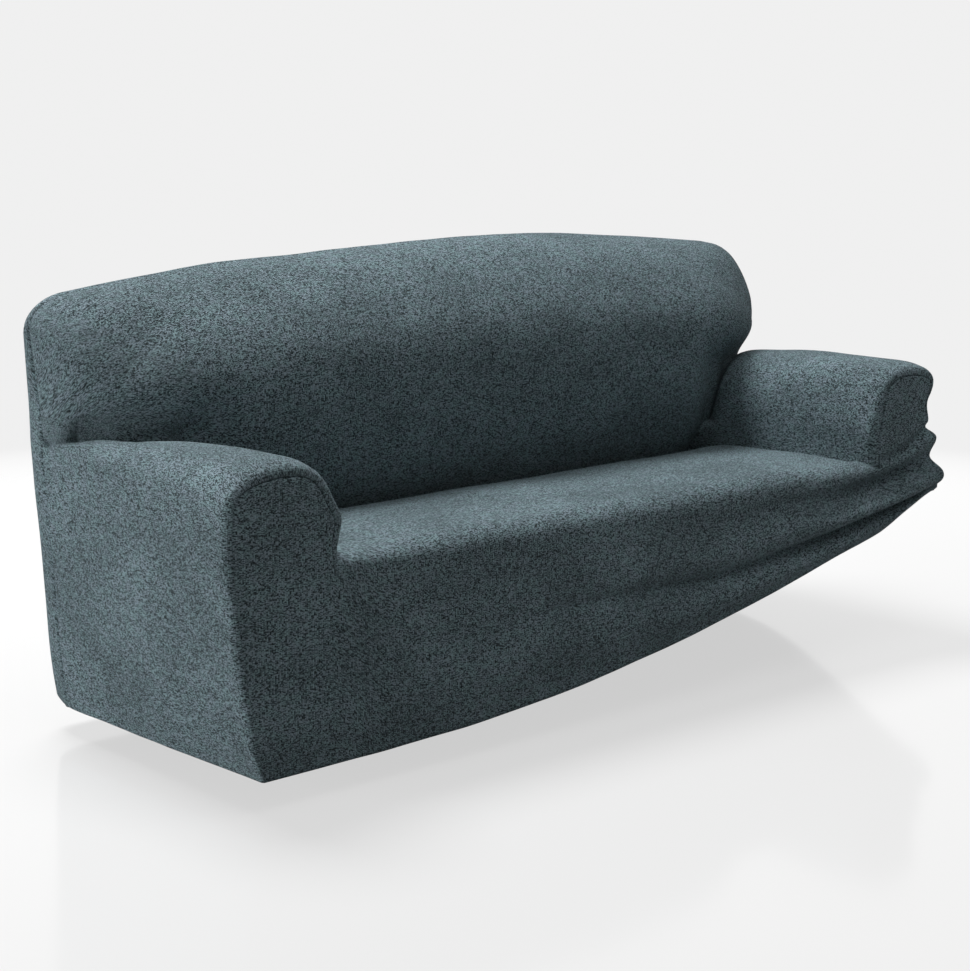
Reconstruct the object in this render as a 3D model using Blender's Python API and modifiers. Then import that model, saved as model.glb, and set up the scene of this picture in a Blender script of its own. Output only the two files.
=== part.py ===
"""A fitted, elastic sofa slipcover: five sewn cloth panels, hollow inside and open below.

Sizes are in metres. Every panel is drawn in the cover's own places: X along its length, its front
towards -Y, heights from the ground. Each panel then moves so that the origin lies under the crown
of the back, where the cover is held up.
"""

import math

import bmesh
import bpy
import numpy as np

# The cloth
CLOTH = 0.0020  # thickness
SEAM_GAP = 0.0010  # between two panels that are sewn edge to edge
CREASE_GAP = 0.0030  # between two panels that meet in a deep crease

# Where the cover is held up: the underside of the crown of its back
HOLD_POINT = (0.0, 0.260, 0.939)

# Main places
FRONT_Y = -0.373  # front face
REAR_Y = 0.370  # rear face
REAR_SEAM_Y = 0.325  # seam along the rear edge of the sides and the top
HEM_Z = 0.060
DECK_EDGE_ROUND = 0.050  # rounded front edge of the seat
ARM_INNER_X = 0.755  # inner face of each arm
ARM_EDGE_ROUND = 0.022  # rounded front edge of each arm, up to the arch seam
ARM_UNDER_DECK = 0.016  # how far the inner side of an arm goes down past the seat deck
SEAT_CREASE_Z = 0.425  # where the deck meets the inside of the back
TUCK_Z = 0.404  # lower edge of the inside of the back, in that crease

# The back
BACK_END_X = 0.996  # half its length
BACK_END_Z = 0.602  # lower edge of its ends, on the arms
BACK_ROUND = 0.220  # width of the zone that rounds away to the top
END_ROUND = 0.320  # width of the zone that rounds away to each end
BACK_ROUND_POWER = 2.00  # 2 is an ellipse, and more is squarer
CORNER_RADIUS = 0.060  # upper corners, at the rear seam
CORNER_GROWTH = 1.600  # how much rounder they get towards the front
ARM_TUCK = 0.022  # how far the back's face draws in where it meets the arms
TUCK_SPREAD = 0.050  # height over which it does
REAR_WRAP = REAR_Y - REAR_SEAM_Y  # radius of the rear edges
CREASE_TURN = 0.050  # where the crease on an arm turns from its outer side to its top
ARM_REAR_SINK = 0.012  # how much lower the arms' tops are at the back
RIGHT_ARM_RISE = 0.016  # how much higher the right arm's top is at its front

# Half-length of the arms' outer sides: height, half length
OUTER_SIDE = (
    (0.060, 0.942),
    (0.110, 0.958),
    (0.170, 0.972),
    (0.280, 0.992),
    (0.400, 1.004),
    (0.520, 1.006),
    (0.580, 1.000),
)

# Half-length of the cover along its rear edge: height, half length
REAR_SIDE = (
    (0.060, 0.962),
    (0.130, 0.968),
    (0.240, 0.976),
    (0.360, 0.983),
    (0.490, 0.991),
    (0.602, 0.996),
)

# The arm's rounded top, from the outer side over to the inner face: half length, height
ARM_TOP = (
    (1.000, 0.580),
    (0.988, 0.611),
    (0.962, 0.633),
    (0.925, 0.644),
    (0.870, 0.648),
    (0.822, 0.640),
    (0.787, 0.617),
    (0.765, 0.583),
    (0.757, 0.540),
    (0.755, 0.480),
)

# The crown line of the back: place along its length, height
CROWN = (
    (-1.00, 0.886),
    (-0.87, 0.903),
    (-0.72, 0.921),
    (-0.51, 0.938),
    (-0.30, 0.944),
    (-0.12, 0.950),
    (0.10, 0.956),
    (0.40, 0.951),
    (0.53, 0.942),
    (0.73, 0.922),
    (1.00, 0.894),
)

# The inside face of the back at mid-length: height, depth
BACK_FACE = (
    (0.400, 0.150),
    (0.430, 0.122),
    (0.470, 0.098),
    (0.540, 0.074),
    (0.620, 0.060),
    (0.700, 0.060),
    (0.780, 0.072),
    (0.860, 0.092),
    (0.960, 0.120),
)

# The seat deck, from its front edge to the crease at the back: depth, height
DECK = (
    (-0.323, 0.456),
    (-0.180, 0.457),
    (-0.050, 0.450),
    (0.060, 0.436),
    (0.110, 0.426),
    (0.160, 0.416),
)

# The front face, where the hem is pulled up at the right and gathers in folds that fade to the
# left. Each row is a place along X and the heights there of the seat's edge, which is the top of
# the first fold, the trough below it, the second fold, its crease, the band over the hem, the hem.
FOLD_COLUMNS = ("x", "edge", "trough", "fold", "crease", "band", "hem")
FOLDS = (
    (-1.00, 0.436, 0.364, 0.290, 0.225, 0.150, 0.060),
    (-0.76, 0.436, 0.366, 0.295, 0.233, 0.158, 0.061),
    (-0.60, 0.420, 0.362, 0.299, 0.243, 0.174, 0.064),
    (-0.45, 0.414, 0.360, 0.303, 0.252, 0.190, 0.069),
    (-0.20, 0.410, 0.360, 0.308, 0.260, 0.216, 0.087),
    (0.05, 0.408, 0.366, 0.308, 0.250, 0.224, 0.123),
    (0.25, 0.407, 0.380, 0.300, 0.255, 0.234, 0.160),
    (0.45, 0.410, 0.393, 0.329, 0.279, 0.256, 0.203),
    (0.62, 0.418, 0.401, 0.350, 0.302, 0.280, 0.245),
    (0.78, 0.439, 0.416, 0.367, 0.324, 0.309, 0.282),
    (0.90, 0.462, 0.432, 0.387, 0.348, 0.339, 0.326),
    (1.00, 0.484, 0.442, 0.402, 0.368, 0.362, 0.354),
)

# How far each of those lines stands proud of the plain front face
PROUD = (
    (-1.00, 0.000, 0.000, 0.000, 0.000, 0.000, -0.008),
    (-0.45, 0.000, 0.001, 0.001, 0.000, 0.002, -0.006),
    (-0.20, 0.000, 0.001, 0.002, -0.001, 0.005, -0.004),
    (0.05, 0.000, 0.001, 0.004, -0.003, 0.009, 0.000),
    (0.25, 0.000, 0.001, 0.008, -0.003, 0.012, 0.003),
    (0.45, 0.002, 0.000, 0.014, -0.004, 0.011, 0.004),
    (0.62, 0.004, -0.001, 0.019, -0.003, 0.010, 0.005),
    (0.78, 0.009, -0.003, 0.023, 0.000, 0.009, 0.006),
    (0.90, 0.014, -0.006, 0.024, 0.006, 0.010, 0.008),
    (1.00, 0.018, -0.008, 0.026, 0.014, 0.012, 0.010),
)

# The pulled-up cloth draws the right arm in near its front: height, inward pull there
ARM_PULL = (
    (0.360, 0.000),
    (0.440, 0.016),
    (0.490, 0.012),
    (0.550, 0.038),
    (0.600, 0.022),
    (0.640, 0.006),
    (0.660, 0.000),
)
PULL_REACH = 0.160  # how far back along the arm that pull and the folds fade away

# The hem of the right arm's outer side, from the front corner to the rear: depth, height
RIGHT_HEM = (
    (-0.373, 0.354),
    (-0.300, 0.318),
    (-0.180, 0.240),
    (-0.050, 0.154),
    (0.080, 0.094),
    (0.200, 0.066),
    (0.400, 0.060),
)

# How finely the panels are divided
ROWS_PER_FOLD = 3
ARCH_STEPS = 13
ARCH_SIDE = 2  # arch points that belong to the outer side of an arm's front
ARCH_INNER = 9  # the arch point where its inner side begins
EDGE_STEPS = 3
ARM_STEPS = 9
DECK_EDGE_STEPS = 8
LENGTH_STEPS = 26
BACK_ROUND_STEPS = 6
BACK_FACE_STEPS = 8
BACK_LENGTH_STEPS = 11
WRAP_STEPS = 3
REAR_STEPS = 8
REAR_PLACES = [0.86, 0.72, 0.56, 0.40, 0.24, 0.08]

CLOTH_COLOUR = (0.085, 0.135, 0.155, 1.0)


def curve(table, column=1):
    """A smooth function through one column of a table, whose first column gives the place."""
    xs = np.array([row[0] for row in table], float)
    ys = np.array([row[column] for row in table], float)
    slopes = np.diff(ys) / np.diff(xs)
    tangents = np.concatenate([slopes[:1], (slopes[:-1] + slopes[1:]) / 2, slopes[-1:]])

    def at(x):
        x = min(max(x, xs[0]), xs[-1])
        i = min(max(int(np.searchsorted(xs, x)) - 1, 0), len(xs) - 2)
        width = xs[i + 1] - xs[i]
        t = (x - xs[i]) / width
        start = ys[i] * (2 * t**3 - 3 * t**2 + 1) + tangents[i] * width * (t**3 - 2 * t**2 + t)
        end = ys[i + 1] * (3 * t**2 - 2 * t**3) + tangents[i + 1] * width * (t**3 - t**2)
        return float(start + end)

    return at


def smoothstep(low, high, value):
    t = min(max((value - low) / (high - low), 0.0), 1.0)
    return t * t * (3 - 2 * t)


def mix(a, b, t):
    return a + (b - a) * t


outer_side = curve(OUTER_SIDE)
rear_side = curve(REAR_SIDE)
crown = curve(CROWN)
back_face = curve(BACK_FACE)
deck = curve(DECK)
arm_pull = curve(ARM_PULL)
right_hem = curve(RIGHT_HEM)
fold_lines = [curve(FOLDS, k) for k in range(1, len(FOLD_COLUMNS))]
proud_lines = [curve(PROUD, k) for k in range(1, len(FOLD_COLUMNS))]


# The front face's rows ---------------------------------------------------------------------------


def skirt_levels(x):
    """Height and proudness of each row of the front face at a place, from the seat's edge down."""
    heights = [line(x) for line in fold_lines]
    proud = [line(x) for line in proud_lines]
    levels = []
    for k in range(len(heights) - 1):
        for step in range(ROWS_PER_FOLD):
            t = step / ROWS_PER_FOLD
            bend = smoothstep(0, 1, t)
            levels.append((mix(heights[k], heights[k + 1], t), mix(proud[k], proud[k + 1], bend)))
    levels.append((heights[-1], proud[-1]))
    return levels


def pulled(side, x, y, z):
    """A place on the right arm, drawn in where the pulled-up cloth tightens it near the front."""
    if side < 0:
        return -x, y, z
    fade = math.exp(-(((y - FRONT_Y) / PULL_REACH) ** 2))
    return x - arm_pull(z) * fade * smoothstep(ARM_INNER_X + 0.03, 1.0, x), y, z


# The back's rounded form -------------------------------------------------------------------------

END_SQUEEZE = BACK_ROUND / END_ROUND  # makes the rings wider at the ends than at the top


def corner_radius(inset):
    """Radius of the back's upper corners at a distance in from its outline."""
    return min(CORNER_RADIUS + CORNER_GROWTH * inset, BACK_ROUND - inset)


def round_corner(dx, dz):
    """Moves a place in the square zone at an upper corner on to rings that round the corner.

    dx and dz are distances in from the end and from the top. Also gives the ring's inset.
    """
    a = 1.0 - dx / BACK_ROUND
    b = 1.0 - dz / BACK_ROUND
    inset = BACK_ROUND * (1.0 - max(a, b, 0.0))
    if a <= 0 or b <= 0:
        return dx, dz, inset
    radius = corner_radius(inset)
    straight = BACK_ROUND - inset - radius
    arc = radius * math.pi / 2
    share = 0.5 * b / a if a >= b else 1.0 - 0.5 * a / b
    along = share * (2 * straight + arc)
    if along < straight:
        return inset, BACK_ROUND - along, inset
    if along < straight + arc:
        angle = (along - straight) / radius
        across = inset + radius * (1 - math.cos(angle))
        down = inset + radius * (1 - math.sin(angle))
        return across, down, inset
    return inset + radius + along - straight - arc, inset, inset


def inset_at(dx, dz):
    """Inset of the ring that passes through a place, by halving."""
    if dx >= BACK_ROUND or dz >= BACK_ROUND:
        return max(min(dx, dz), 0.0)
    low = 0.0
    high = max(min(dx, dz), 0.0)
    for _ in range(30):
        inset = (low + high) / 2
        radius = corner_radius(inset)
        outside = math.hypot(max(inset + radius - dx, 0), max(inset + radius - dz, 0)) > radius
        low, high = (low, inset) if outside else (inset, high)
    return low


def face_depth(inset, x, z):
    """Y of the back's inside surface on a ring, with the tuck above each arm."""
    edge = 1.0 - min(inset / BACK_ROUND, 1.0)
    flat = (1.0 - edge**BACK_ROUND_POWER) ** (1 / BACK_ROUND_POWER)
    over_arm = smoothstep(ARM_INNER_X - 0.04, ARM_INNER_X + 0.04, abs(x))
    tuck = ARM_TUCK * over_arm * math.exp(-(((z - BACK_END_Z) / TUCK_SPREAD) ** 2))
    return min(mix(REAR_SEAM_Y, back_face(z), flat) + tuck, REAR_SEAM_Y - 2 * SEAM_GAP)


def depth_at(x, z):
    """Y of the back's inside surface at a place across its front."""
    inset = inset_at((BACK_END_X - abs(x)) * END_SQUEEZE, crown(x) - z)
    return face_depth(inset, x, z)


def end_reach(z):
    """Half-length of the cover's rear outline at a height."""
    return rear_side(z) if z < REAR_SIDE[-1][0] else BACK_END_X


def back_place(x, dz):
    """Where a place on the back's square plan lands on its rounded outline: x, z and inset."""
    across, down, inset = round_corner((BACK_END_X - abs(x)) * END_SQUEEZE, dz)
    across /= END_SQUEEZE
    place = math.copysign(BACK_END_X - across, x)
    z = crown(place) - down
    return place * end_reach(z) / BACK_END_X, z, inset


def both_ways(half):
    """Places along the whole length, from those of one half, listed from the end inward."""
    return [-x for x in half] + list(half)[::-1]


# Meshes ------------------------------------------------------------------------------------------


def cloth_material(name):
    material = bpy.data.materials.new(f"{name}_cloth")
    material.use_nodes = True
    shader = material.node_tree.nodes["Principled BSDF"]
    shader.inputs["Base Color"].default_value = CLOTH_COLOUR
    shader.inputs["Roughness"].default_value = 0.9
    shader.inputs["Metallic"].default_value = 0.0
    return material


def new_panel(name, grids, outward):
    """One panel: grids of points, joined where they meet, with the cloth's thickness inside."""
    sheet = bmesh.new()
    for grid in grids:
        rows = [[sheet.verts.new(point) for point in row] for row in grid]
        for upper, lower in zip(rows, rows[1:]):
            for k in range(len(upper) - 1):
                sheet.faces.new((upper[k], upper[k + 1], lower[k + 1], lower[k]))
    bmesh.ops.remove_doubles(sheet, verts=sheet.verts, dist=1e-6)
    bmesh.ops.recalc_face_normals(sheet, faces=sheet.faces)
    facing = sum(face.calc_area() * face.normal.dot(outward) for face in sheet.faces)
    if facing < 0:
        bmesh.ops.reverse_faces(sheet, faces=sheet.faces)
    bmesh.ops.translate(sheet, verts=sheet.verts, vec=[-place for place in HOLD_POINT])
    mesh = bpy.data.meshes.new(name)
    sheet.to_mesh(mesh)
    sheet.free()
    mesh.shade_smooth()
    mesh.materials.append(cloth_material(name))
    panel = bpy.data.objects.new(name, mesh)
    panels.objects.link(panel)
    thickness = panel.modifiers.new("Cloth", "SOLIDIFY")
    thickness.thickness = CLOTH
    thickness.offset = -1.0
    return panel


# Arms --------------------------------------------------------------------------------------------


def arch_points():
    """Evenly spaced points of the arm's rounded top, from the outer side to the inner face."""
    points = np.array(ARM_TOP)
    run = np.concatenate([[0.0], np.cumsum(np.linalg.norm(np.diff(points, axis=0), axis=1))])
    table = np.column_stack([run, points])
    across = curve(table, 1)
    up = curve(table, 2)
    return [(across(s), up(s)) for s in np.linspace(0.0, run[-1], ARCH_STEPS + 1)]


def arm_section(side):
    """The arm's section, hem to seat: rows of half length, height and proudness.

    Its outer side takes the front face's levels, so that both panels share every seam point.
    """
    levels = skirt_levels(side * outer_side(0.45))[::-1]
    rows = [(outer_side(z), z, proud) for z, proud in levels]
    edge = levels[-1][0]
    shoulder = ARM_TOP[0][1]
    for share in (0.06, 0.36, 0.68):
        z = mix(edge, shoulder, share)
        rows.append((outer_side(z), z, 0.0))
    rise = RIGHT_ARM_RISE if side > 0 else 0.0
    rows += [(x, z + rise * smoothstep(0.54, 0.63, z), 0.0) for x, z in arch_points()]
    foot = ARM_TOP[-1][1]
    for share in (1 / 3, 2 / 3, 1.0):
        rows.append((ARM_INNER_X, mix(foot, edge, share), 0.0))
    return np.array(rows)


LEVELS = (len(FOLD_COLUMNS) - 2) * ROWS_PER_FOLD + 1  # rows of the front face
ARCH_START = LEVELS + 3  # the section's first arch point
ARCH_END = ARCH_START + ARCH_STEPS


def outward_normals(section):
    along = np.gradient(section[:, :2], axis=0)
    along /= np.linalg.norm(along, axis=1)[:, None]
    return np.column_stack([along[:, 1], -along[:, 0]])


def edge_ring(side, turn, extra=0.0):
    """The section's points on the arm's rounded front edge. turn is 0 at the seam, 90 degrees at
    the full section, and extra is a further distance in from the seam."""
    section = arm_section(side)
    normals = outward_normals(section)
    inset = ARM_EDGE_ROUND * (1 - math.sin(turn)) + extra
    y = FRONT_Y + ARM_EDGE_ROUND * (1 - math.cos(turn))
    seat = seat_height(y, side * ARM_INNER_X)
    ring = []
    for k, (x, z, proud) in enumerate(section):
        nx, nz = normals[k]
        if k > ARCH_END:
            foot = seat + mix(0.012, -ARM_UNDER_DECK, math.sin(turn) ** 2)
            z = mix(ARM_TOP[-1][1], foot, (k - ARCH_END) / 3)
            nx, nz = -1.0, 0.0
        px = x - nx * inset + nx * proud * math.sin(turn)
        pz = z - nz * inset
        ring.append(pulled(side, px, y - proud * math.cos(turn), pz))
    return ring


def seat_height(y, x):
    """Height of the seat's surface, over its rounded front edge too."""
    top = DECK[0][1]
    if y >= DECK[0][0]:
        return deck(y)
    edge, proud = skirt_levels(x)[0]
    forward = min((DECK[0][0] - y) / (DECK_EDGE_ROUND + proud), 1.0)
    return mix(edge, top, math.sqrt(1.0 - forward**2))


def rear_end(section, k):
    """Where the section's lengthwise line k ends: on the rear seam, in the crease under the back's
    end, or on the inside of the back."""
    if k <= ARCH_START:
        z = mix(HEM_Z, BACK_END_Z, k / ARCH_START)
        return end_reach(z), REAR_SEAM_Y - SEAM_GAP, z
    x = section[k][0]
    turn = ARCH_START + ARCH_SIDE + 2
    if k < turn:
        t = (k - ARCH_START) / (turn - ARCH_START)
        x = BACK_END_X - CREASE_TURN * t * t
        z = crease_height(x)
        return x, depth_at(x, z) - CREASE_GAP * t, z
    if k <= ARCH_END:
        z = arch_points()[k - ARCH_START][1]
        z -= ARM_REAR_SINK * smoothstep(0.54, 0.63, z)
        return x, depth_at(x, z) - CREASE_GAP, z
    foot = SEAT_CREASE_Z - ARM_UNDER_DECK
    z = mix(ARM_TOP[-1][1], foot, (k - ARCH_END) / 3)
    return x, depth_at(x, z) - CREASE_GAP, z


def crease_height(x):
    """Height of the crease between the back's end and the arm, near the arm's outer side."""
    table = np.array(ARM_TOP)[::-1]
    on_arm = float(np.interp(x, table[:, 0], table[:, 1]))
    on_arm -= ARM_REAR_SINK * smoothstep(0.54, 0.63, on_arm)
    return max(on_arm, BACK_END_Z + 0.4 * (BACK_END_X - x))


def arm(name, side):
    """An arm's panel: outer side, top and inner side, from the arch seam to the rear."""
    section = arm_section(side)
    rows = [edge_ring(side, math.pi / 2 * k / EDGE_STEPS) for k in range(EDGE_STEPS + 1)]
    start = FRONT_Y + ARM_EDGE_ROUND
    ends = [rear_end(section, k) for k in range(len(section))]
    hem_front = section[0][1]
    edge_front = section[LEVELS - 1][1]
    edge_rear = ends[LEVELS - 1][2]
    for step in range(1, ARM_STEPS + 1):
        t = step / ARM_STEPS
        row = []
        for k, (x, z, proud) in enumerate(section):
            end_x, end_y, end_z = ends[k]
            y = mix(start, end_y, t)
            fade = math.exp(-(((y - start) / PULL_REACH) ** 2))
            px = mix(x, end_x, t)
            pz = mix(z, end_z, t)
            if k < LEVELS:
                front_share = (z - hem_front) / (edge_front - hem_front)
                rear_share = (end_z - HEM_Z) / (edge_rear - HEM_Z)
                hem = right_hem(y) if side > 0 else HEM_Z
                pz = mix(hem, mix(edge_front, edge_rear, t), mix(front_share, rear_share, t))
            if k <= ARCH_START:
                px = mix(outer_side(pz), end_reach(pz), t)
            if k > ARCH_END:
                foot = seat_height(y, side * x) - ARM_UNDER_DECK
                pz = mix(ARM_TOP[-1][1], foot, (k - ARCH_END) / 3)
            row.append(pulled(side, px + proud * fade, y, pz))
        rows.append(row)
    new_panel(name, [rows], (side, 0, 0.5))


# Seat and front ----------------------------------------------------------------------------------


def seat_reach(y):
    """How far along X the seat's cloth goes: up to the arm, round whose front edge it opens out."""
    forward = min(max((FRONT_Y + ARM_EDGE_ROUND - y) / ARM_EDGE_ROUND, 0.0), 1.0)
    opened = ARM_EDGE_ROUND * (1.0 - math.sqrt(1.0 - forward**2))
    clear = 4 * CREASE_GAP * forward * (1.0 - forward)
    return ARM_INNER_X + opened - clear + mix(-CREASE_GAP, SEAM_GAP, forward**8)


def seat_column(across):
    """The seat's points at a share of its length, from the crease over the edge to the hem."""
    column = []
    rear = depth_at(across * ARM_INNER_X, SEAT_CREASE_Z) - CREASE_GAP
    front = DECK[0][0]
    for t in (0.0, 0.05, 0.14, 0.30, 0.50, 0.72, 1.0):
        y = mix(rear, front, t)
        sink = 0.010 * math.exp(-t / 0.06)
        column.append((across * seat_reach(y), y, deck(y) - sink))
    levels = skirt_levels(across * (ARM_INNER_X + ARM_EDGE_ROUND))
    edge, edge_proud = levels[0]
    for step in range(1, DECK_EDGE_STEPS):
        turn = math.pi / 2 * step / DECK_EDGE_STEPS
        y = front - (DECK_EDGE_ROUND + edge_proud) * math.sin(turn)
        z = mix(edge, DECK[0][1], math.cos(turn))
        column.append((across * seat_reach(max(y, FRONT_Y)), y, z))
    reach = seat_reach(FRONT_Y)
    column += [(across * reach, FRONT_Y - proud, z) for z, proud in levels]
    return column


def coons(left, right, bottom, top):
    """A patch between four edges. left and right run up, bottom and top run left to right."""
    left, right, bottom, top = (np.array(edge) for edge in (left, right, bottom, top))
    grid = []
    for v, (start, end) in zip(np.linspace(0, 1, len(left)), zip(left, right)):
        row = []
        for u, (low, high) in zip(np.linspace(0, 1, len(top)), zip(bottom, top)):
            corners = mix(mix(bottom[0], bottom[-1], u), mix(top[0], top[-1], u), v)
            row.append(tuple(mix(start, end, u) + mix(low, high, v) - corners))
        grid.append(row)
    return grid


def arm_front(side, skirt_edge):
    """An arm's front: rows that carry on the skirt's, and above them the patch inside the arch."""
    seam = edge_ring(side, 0.0, extra=SEAM_GAP)
    count = ARCH_INNER - ARCH_SIDE + 1
    near = abs(skirt_edge[0][0])
    far = outer_side(0.45)
    shares = [k / (count - 1) for k in range(count)]
    lower = []
    for level in range(LEVELS):
        start = skirt_edge[level]
        end = seam[LEVELS - 1 - level]
        row = []
        for share in shares:
            z, proud = skirt_levels(side * mix(near, far, share))[level]
            settle = smoothstep(0, 1, share)
            x = mix(start[0], end[0], share)
            y = FRONT_Y - proud
            row.append((x, mix(mix(start[1], y, settle), end[1], settle**4), z))
        row[0] = start
        row[-1] = end
        lower.append(row)
    arch = ARCH_START
    outer = [lower[0][-1]] + [seam[k] for k in range(LEVELS, arch + ARCH_SIDE + 1)]
    inner = [seam[k] for k in range(arch + ARCH_INNER, ARCH_END + 1)][::-1]
    between = tuple(mix(np.array(lower[0][0]), np.array(inner[0]), 0.5))
    inner = [lower[0][0], between] + inner
    top = [seam[k] for k in range(arch + ARCH_SIDE, arch + ARCH_INNER + 1)][::-1]
    return [lower, coons(inner, outer, lower[0], top)]


def seat_and_front():
    """Seat deck, front skirt and both arm fronts, cut in one."""
    shares = np.linspace(-1.0, 1.0, LENGTH_STEPS + 1)
    columns = [seat_column(share) for share in shares]
    middle = [list(row) for row in zip(*columns)]
    skirt = middle[-LEVELS:]
    grids = [middle]
    grids += arm_front(-1, [row[0] for row in skirt])
    grids += arm_front(1, [row[-1] for row in skirt])
    new_panel("seat_and_front", grids, (0, -0.7, 0.7))


# Back --------------------------------------------------------------------------------------------


def back_foot(x):
    """Lower edge of the inside of the back: on the arms at its ends, in the seat's crease between."""
    reach = abs(x)
    if reach > BACK_END_X - CREASE_TURN + CREASE_GAP:
        return crease_height(reach) + CREASE_GAP
    return mix(TUCK_Z, BACK_END_Z, smoothstep(ARM_INNER_X - 0.002, ARM_INNER_X + 0.020, reach))


def inside_back():
    """Inside face, rounded ends and the roll over the top, from the arms and seat to the seam."""
    section = arm_section(-1)
    over_arm = [rear_end(section, k)[0] for k in range(ARCH_START, ARCH_END + 1)]
    middle = np.linspace(ARM_INNER_X - 0.010, 0.045, BACK_LENGTH_STEPS)
    places = both_ways(over_arm + list(middle))
    turns = [math.pi / 2 * k / BACK_ROUND_STEPS for k in range(BACK_ROUND_STEPS + 1)]
    columns = []
    for x in places:
        column = []
        for turn in turns:
            px, z, inset = back_place(x, BACK_ROUND * (1 - math.cos(turn)))
            column.append((px, face_depth(inset, px, z), z))
        start = column[-1][2]
        for step in range(1, BACK_FACE_STEPS + 1):
            z = mix(start, back_foot(x), step / BACK_FACE_STEPS)
            px, _, inset = back_place(x, crown(x) - z)
            column.append((px, face_depth(inset, px, z), z))
        columns.append(column)
    new_panel("inside_back", [list(zip(*columns))], (0, -1, 0))


def rear_panel():
    """Rear face, with the strips that wrap round the rear corners and over the top edge."""
    turns = [math.pi / 2 * k / WRAP_STEPS for k in range(WRAP_STEPS + 1)]
    wraps = [REAR_WRAP * (1 - math.cos(turn)) for turn in turns]
    places = both_ways([BACK_END_X - wrap / END_SQUEEZE for wrap in wraps] + REAR_PLACES)
    drops = wraps + [0.09, 0.15, BACK_ROUND]
    heights = np.linspace(OUTER_SIDE[-1][0], HEM_Z, REAR_STEPS)
    columns = []
    for x in places:
        spots = [back_place(x, drop) for drop in drops]
        spots += [back_place(x, crown(x) - z) for z in heights]
        column = []
        for px, z, inset in spots:
            forward = 1.0 - min(inset / REAR_WRAP, 1.0)
            y = REAR_SEAM_Y + REAR_WRAP * math.sqrt(1.0 - forward**2)
            column.append((px, y, z))
        columns.append(column)
    new_panel("rear_panel", [list(zip(*columns))], (0, 1, 0))


# Build -------------------------------------------------------------------------------------------

for leftover in list(bpy.data.objects):
    bpy.data.objects.remove(leftover, do_unlink=True)
panels = bpy.data.collections.new("sofa_slipcover")
bpy.context.scene.collection.children.link(panels)

arm("arm_left", -1)
arm("arm_right", 1)
seat_and_front()
inside_back()
rear_panel()
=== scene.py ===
# %% [markdown]
# A fitted stretch slipcover, built as five sewn panels of melange cloth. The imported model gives
# the place and the size of each panel, and this script dresses it: a finer sheet on the same
# form, turned-in seams, soft creases, and a cloth whose dark flecks follow the weave.
# The cover is hollow and open below, so both faces of the cloth get a finish.

# %% Load the frame
import math

import bmesh
import bpy
import numpy as np
from mathutils import Matrix, Vector, noise


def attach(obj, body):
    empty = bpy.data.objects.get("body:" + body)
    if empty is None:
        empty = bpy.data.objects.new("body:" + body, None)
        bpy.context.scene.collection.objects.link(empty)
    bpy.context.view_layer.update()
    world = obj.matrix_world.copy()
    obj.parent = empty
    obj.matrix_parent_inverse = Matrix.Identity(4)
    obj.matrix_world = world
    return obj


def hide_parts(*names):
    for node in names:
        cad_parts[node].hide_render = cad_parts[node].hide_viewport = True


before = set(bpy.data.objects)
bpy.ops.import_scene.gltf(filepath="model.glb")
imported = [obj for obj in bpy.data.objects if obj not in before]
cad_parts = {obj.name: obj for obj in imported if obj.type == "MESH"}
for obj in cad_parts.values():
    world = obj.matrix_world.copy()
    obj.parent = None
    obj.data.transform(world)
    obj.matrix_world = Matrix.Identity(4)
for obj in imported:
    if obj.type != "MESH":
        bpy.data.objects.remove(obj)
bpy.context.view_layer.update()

# %% [markdown]
# The cloth is drawn in the cover's own places: X along its length, its front towards -Y, heights
# from the ground. At the end every panel moves by one step to the frame's origin, which lies under
# the crown of the back. Drawing in plain heights keeps the tables easy to read and to check.

# %% Sizes of the cover
HOLD_POINT = (0.0, 0.260, 0.939)  # under the crown, where the cover is held up
CLOTH = 0.0018  # thickness of the cloth
SEAM_GAP = 0.0003  # between the two turned edges of a seam
CREASE_GAP = 0.0020  # between two panels in a deep crease
FRONT_Y = -0.373
REAR_Y = 0.370
REAR_SEAM_Y = 0.325
HEM_Z = 0.060
DECK_EDGE_ROUND = 0.050  # radius of the seat's front edge
ARM_INNER_X = 0.755
ARM_EDGE_ROUND = 0.024  # radius of the inner upright edge of an arm's front
ARCH_EDGE_ROUND = 0.015  # and of the edge over its arch and down the outer side
ARM_UNDER_DECK = 0.016  # how far an arm's inner side reaches below the seat
SEAT_CREASE_Z = 0.425
TUCK_Z = 0.404  # a height near the bottom of the seat's rear crease

BACK_END_X = 0.996
BACK_END_Z = 0.602  # where the back's end meets the arm at the rear seam
BACK_ROUND = 0.220  # how far the back's rounding goes down from the crown
END_ROUND = 0.320  # and inward from its ends
BACK_ROUND_POWER = 2.00
CORNER_RADIUS = 0.060
CORNER_GROWTH = 1.600
REAR_WRAP = REAR_Y - REAR_SEAM_Y
CREASE_TURN = 0.050  # length of the crease under each end of the back
ARM_REAR_SINK = {-1: 0.040, 1: 0.006}  # how far each arm's top sinks towards the back
RIGHT_ARM_RISE = 0.016
ARM_BULGE = {-1: 0.014, 1: 0.003}  # how far each arm's inner side swells over the seat
END_SQUEEZE = BACK_ROUND / END_ROUND
print("cover", 2 * BACK_END_X, "m long,", round(REAR_Y - FRONT_Y, 3), "m deep")

# %% [markdown]
# Each outline is a short table of places that a smooth curve joins. Half lengths are measured
# from the middle of the cover, so that both ends share one table.

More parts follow.
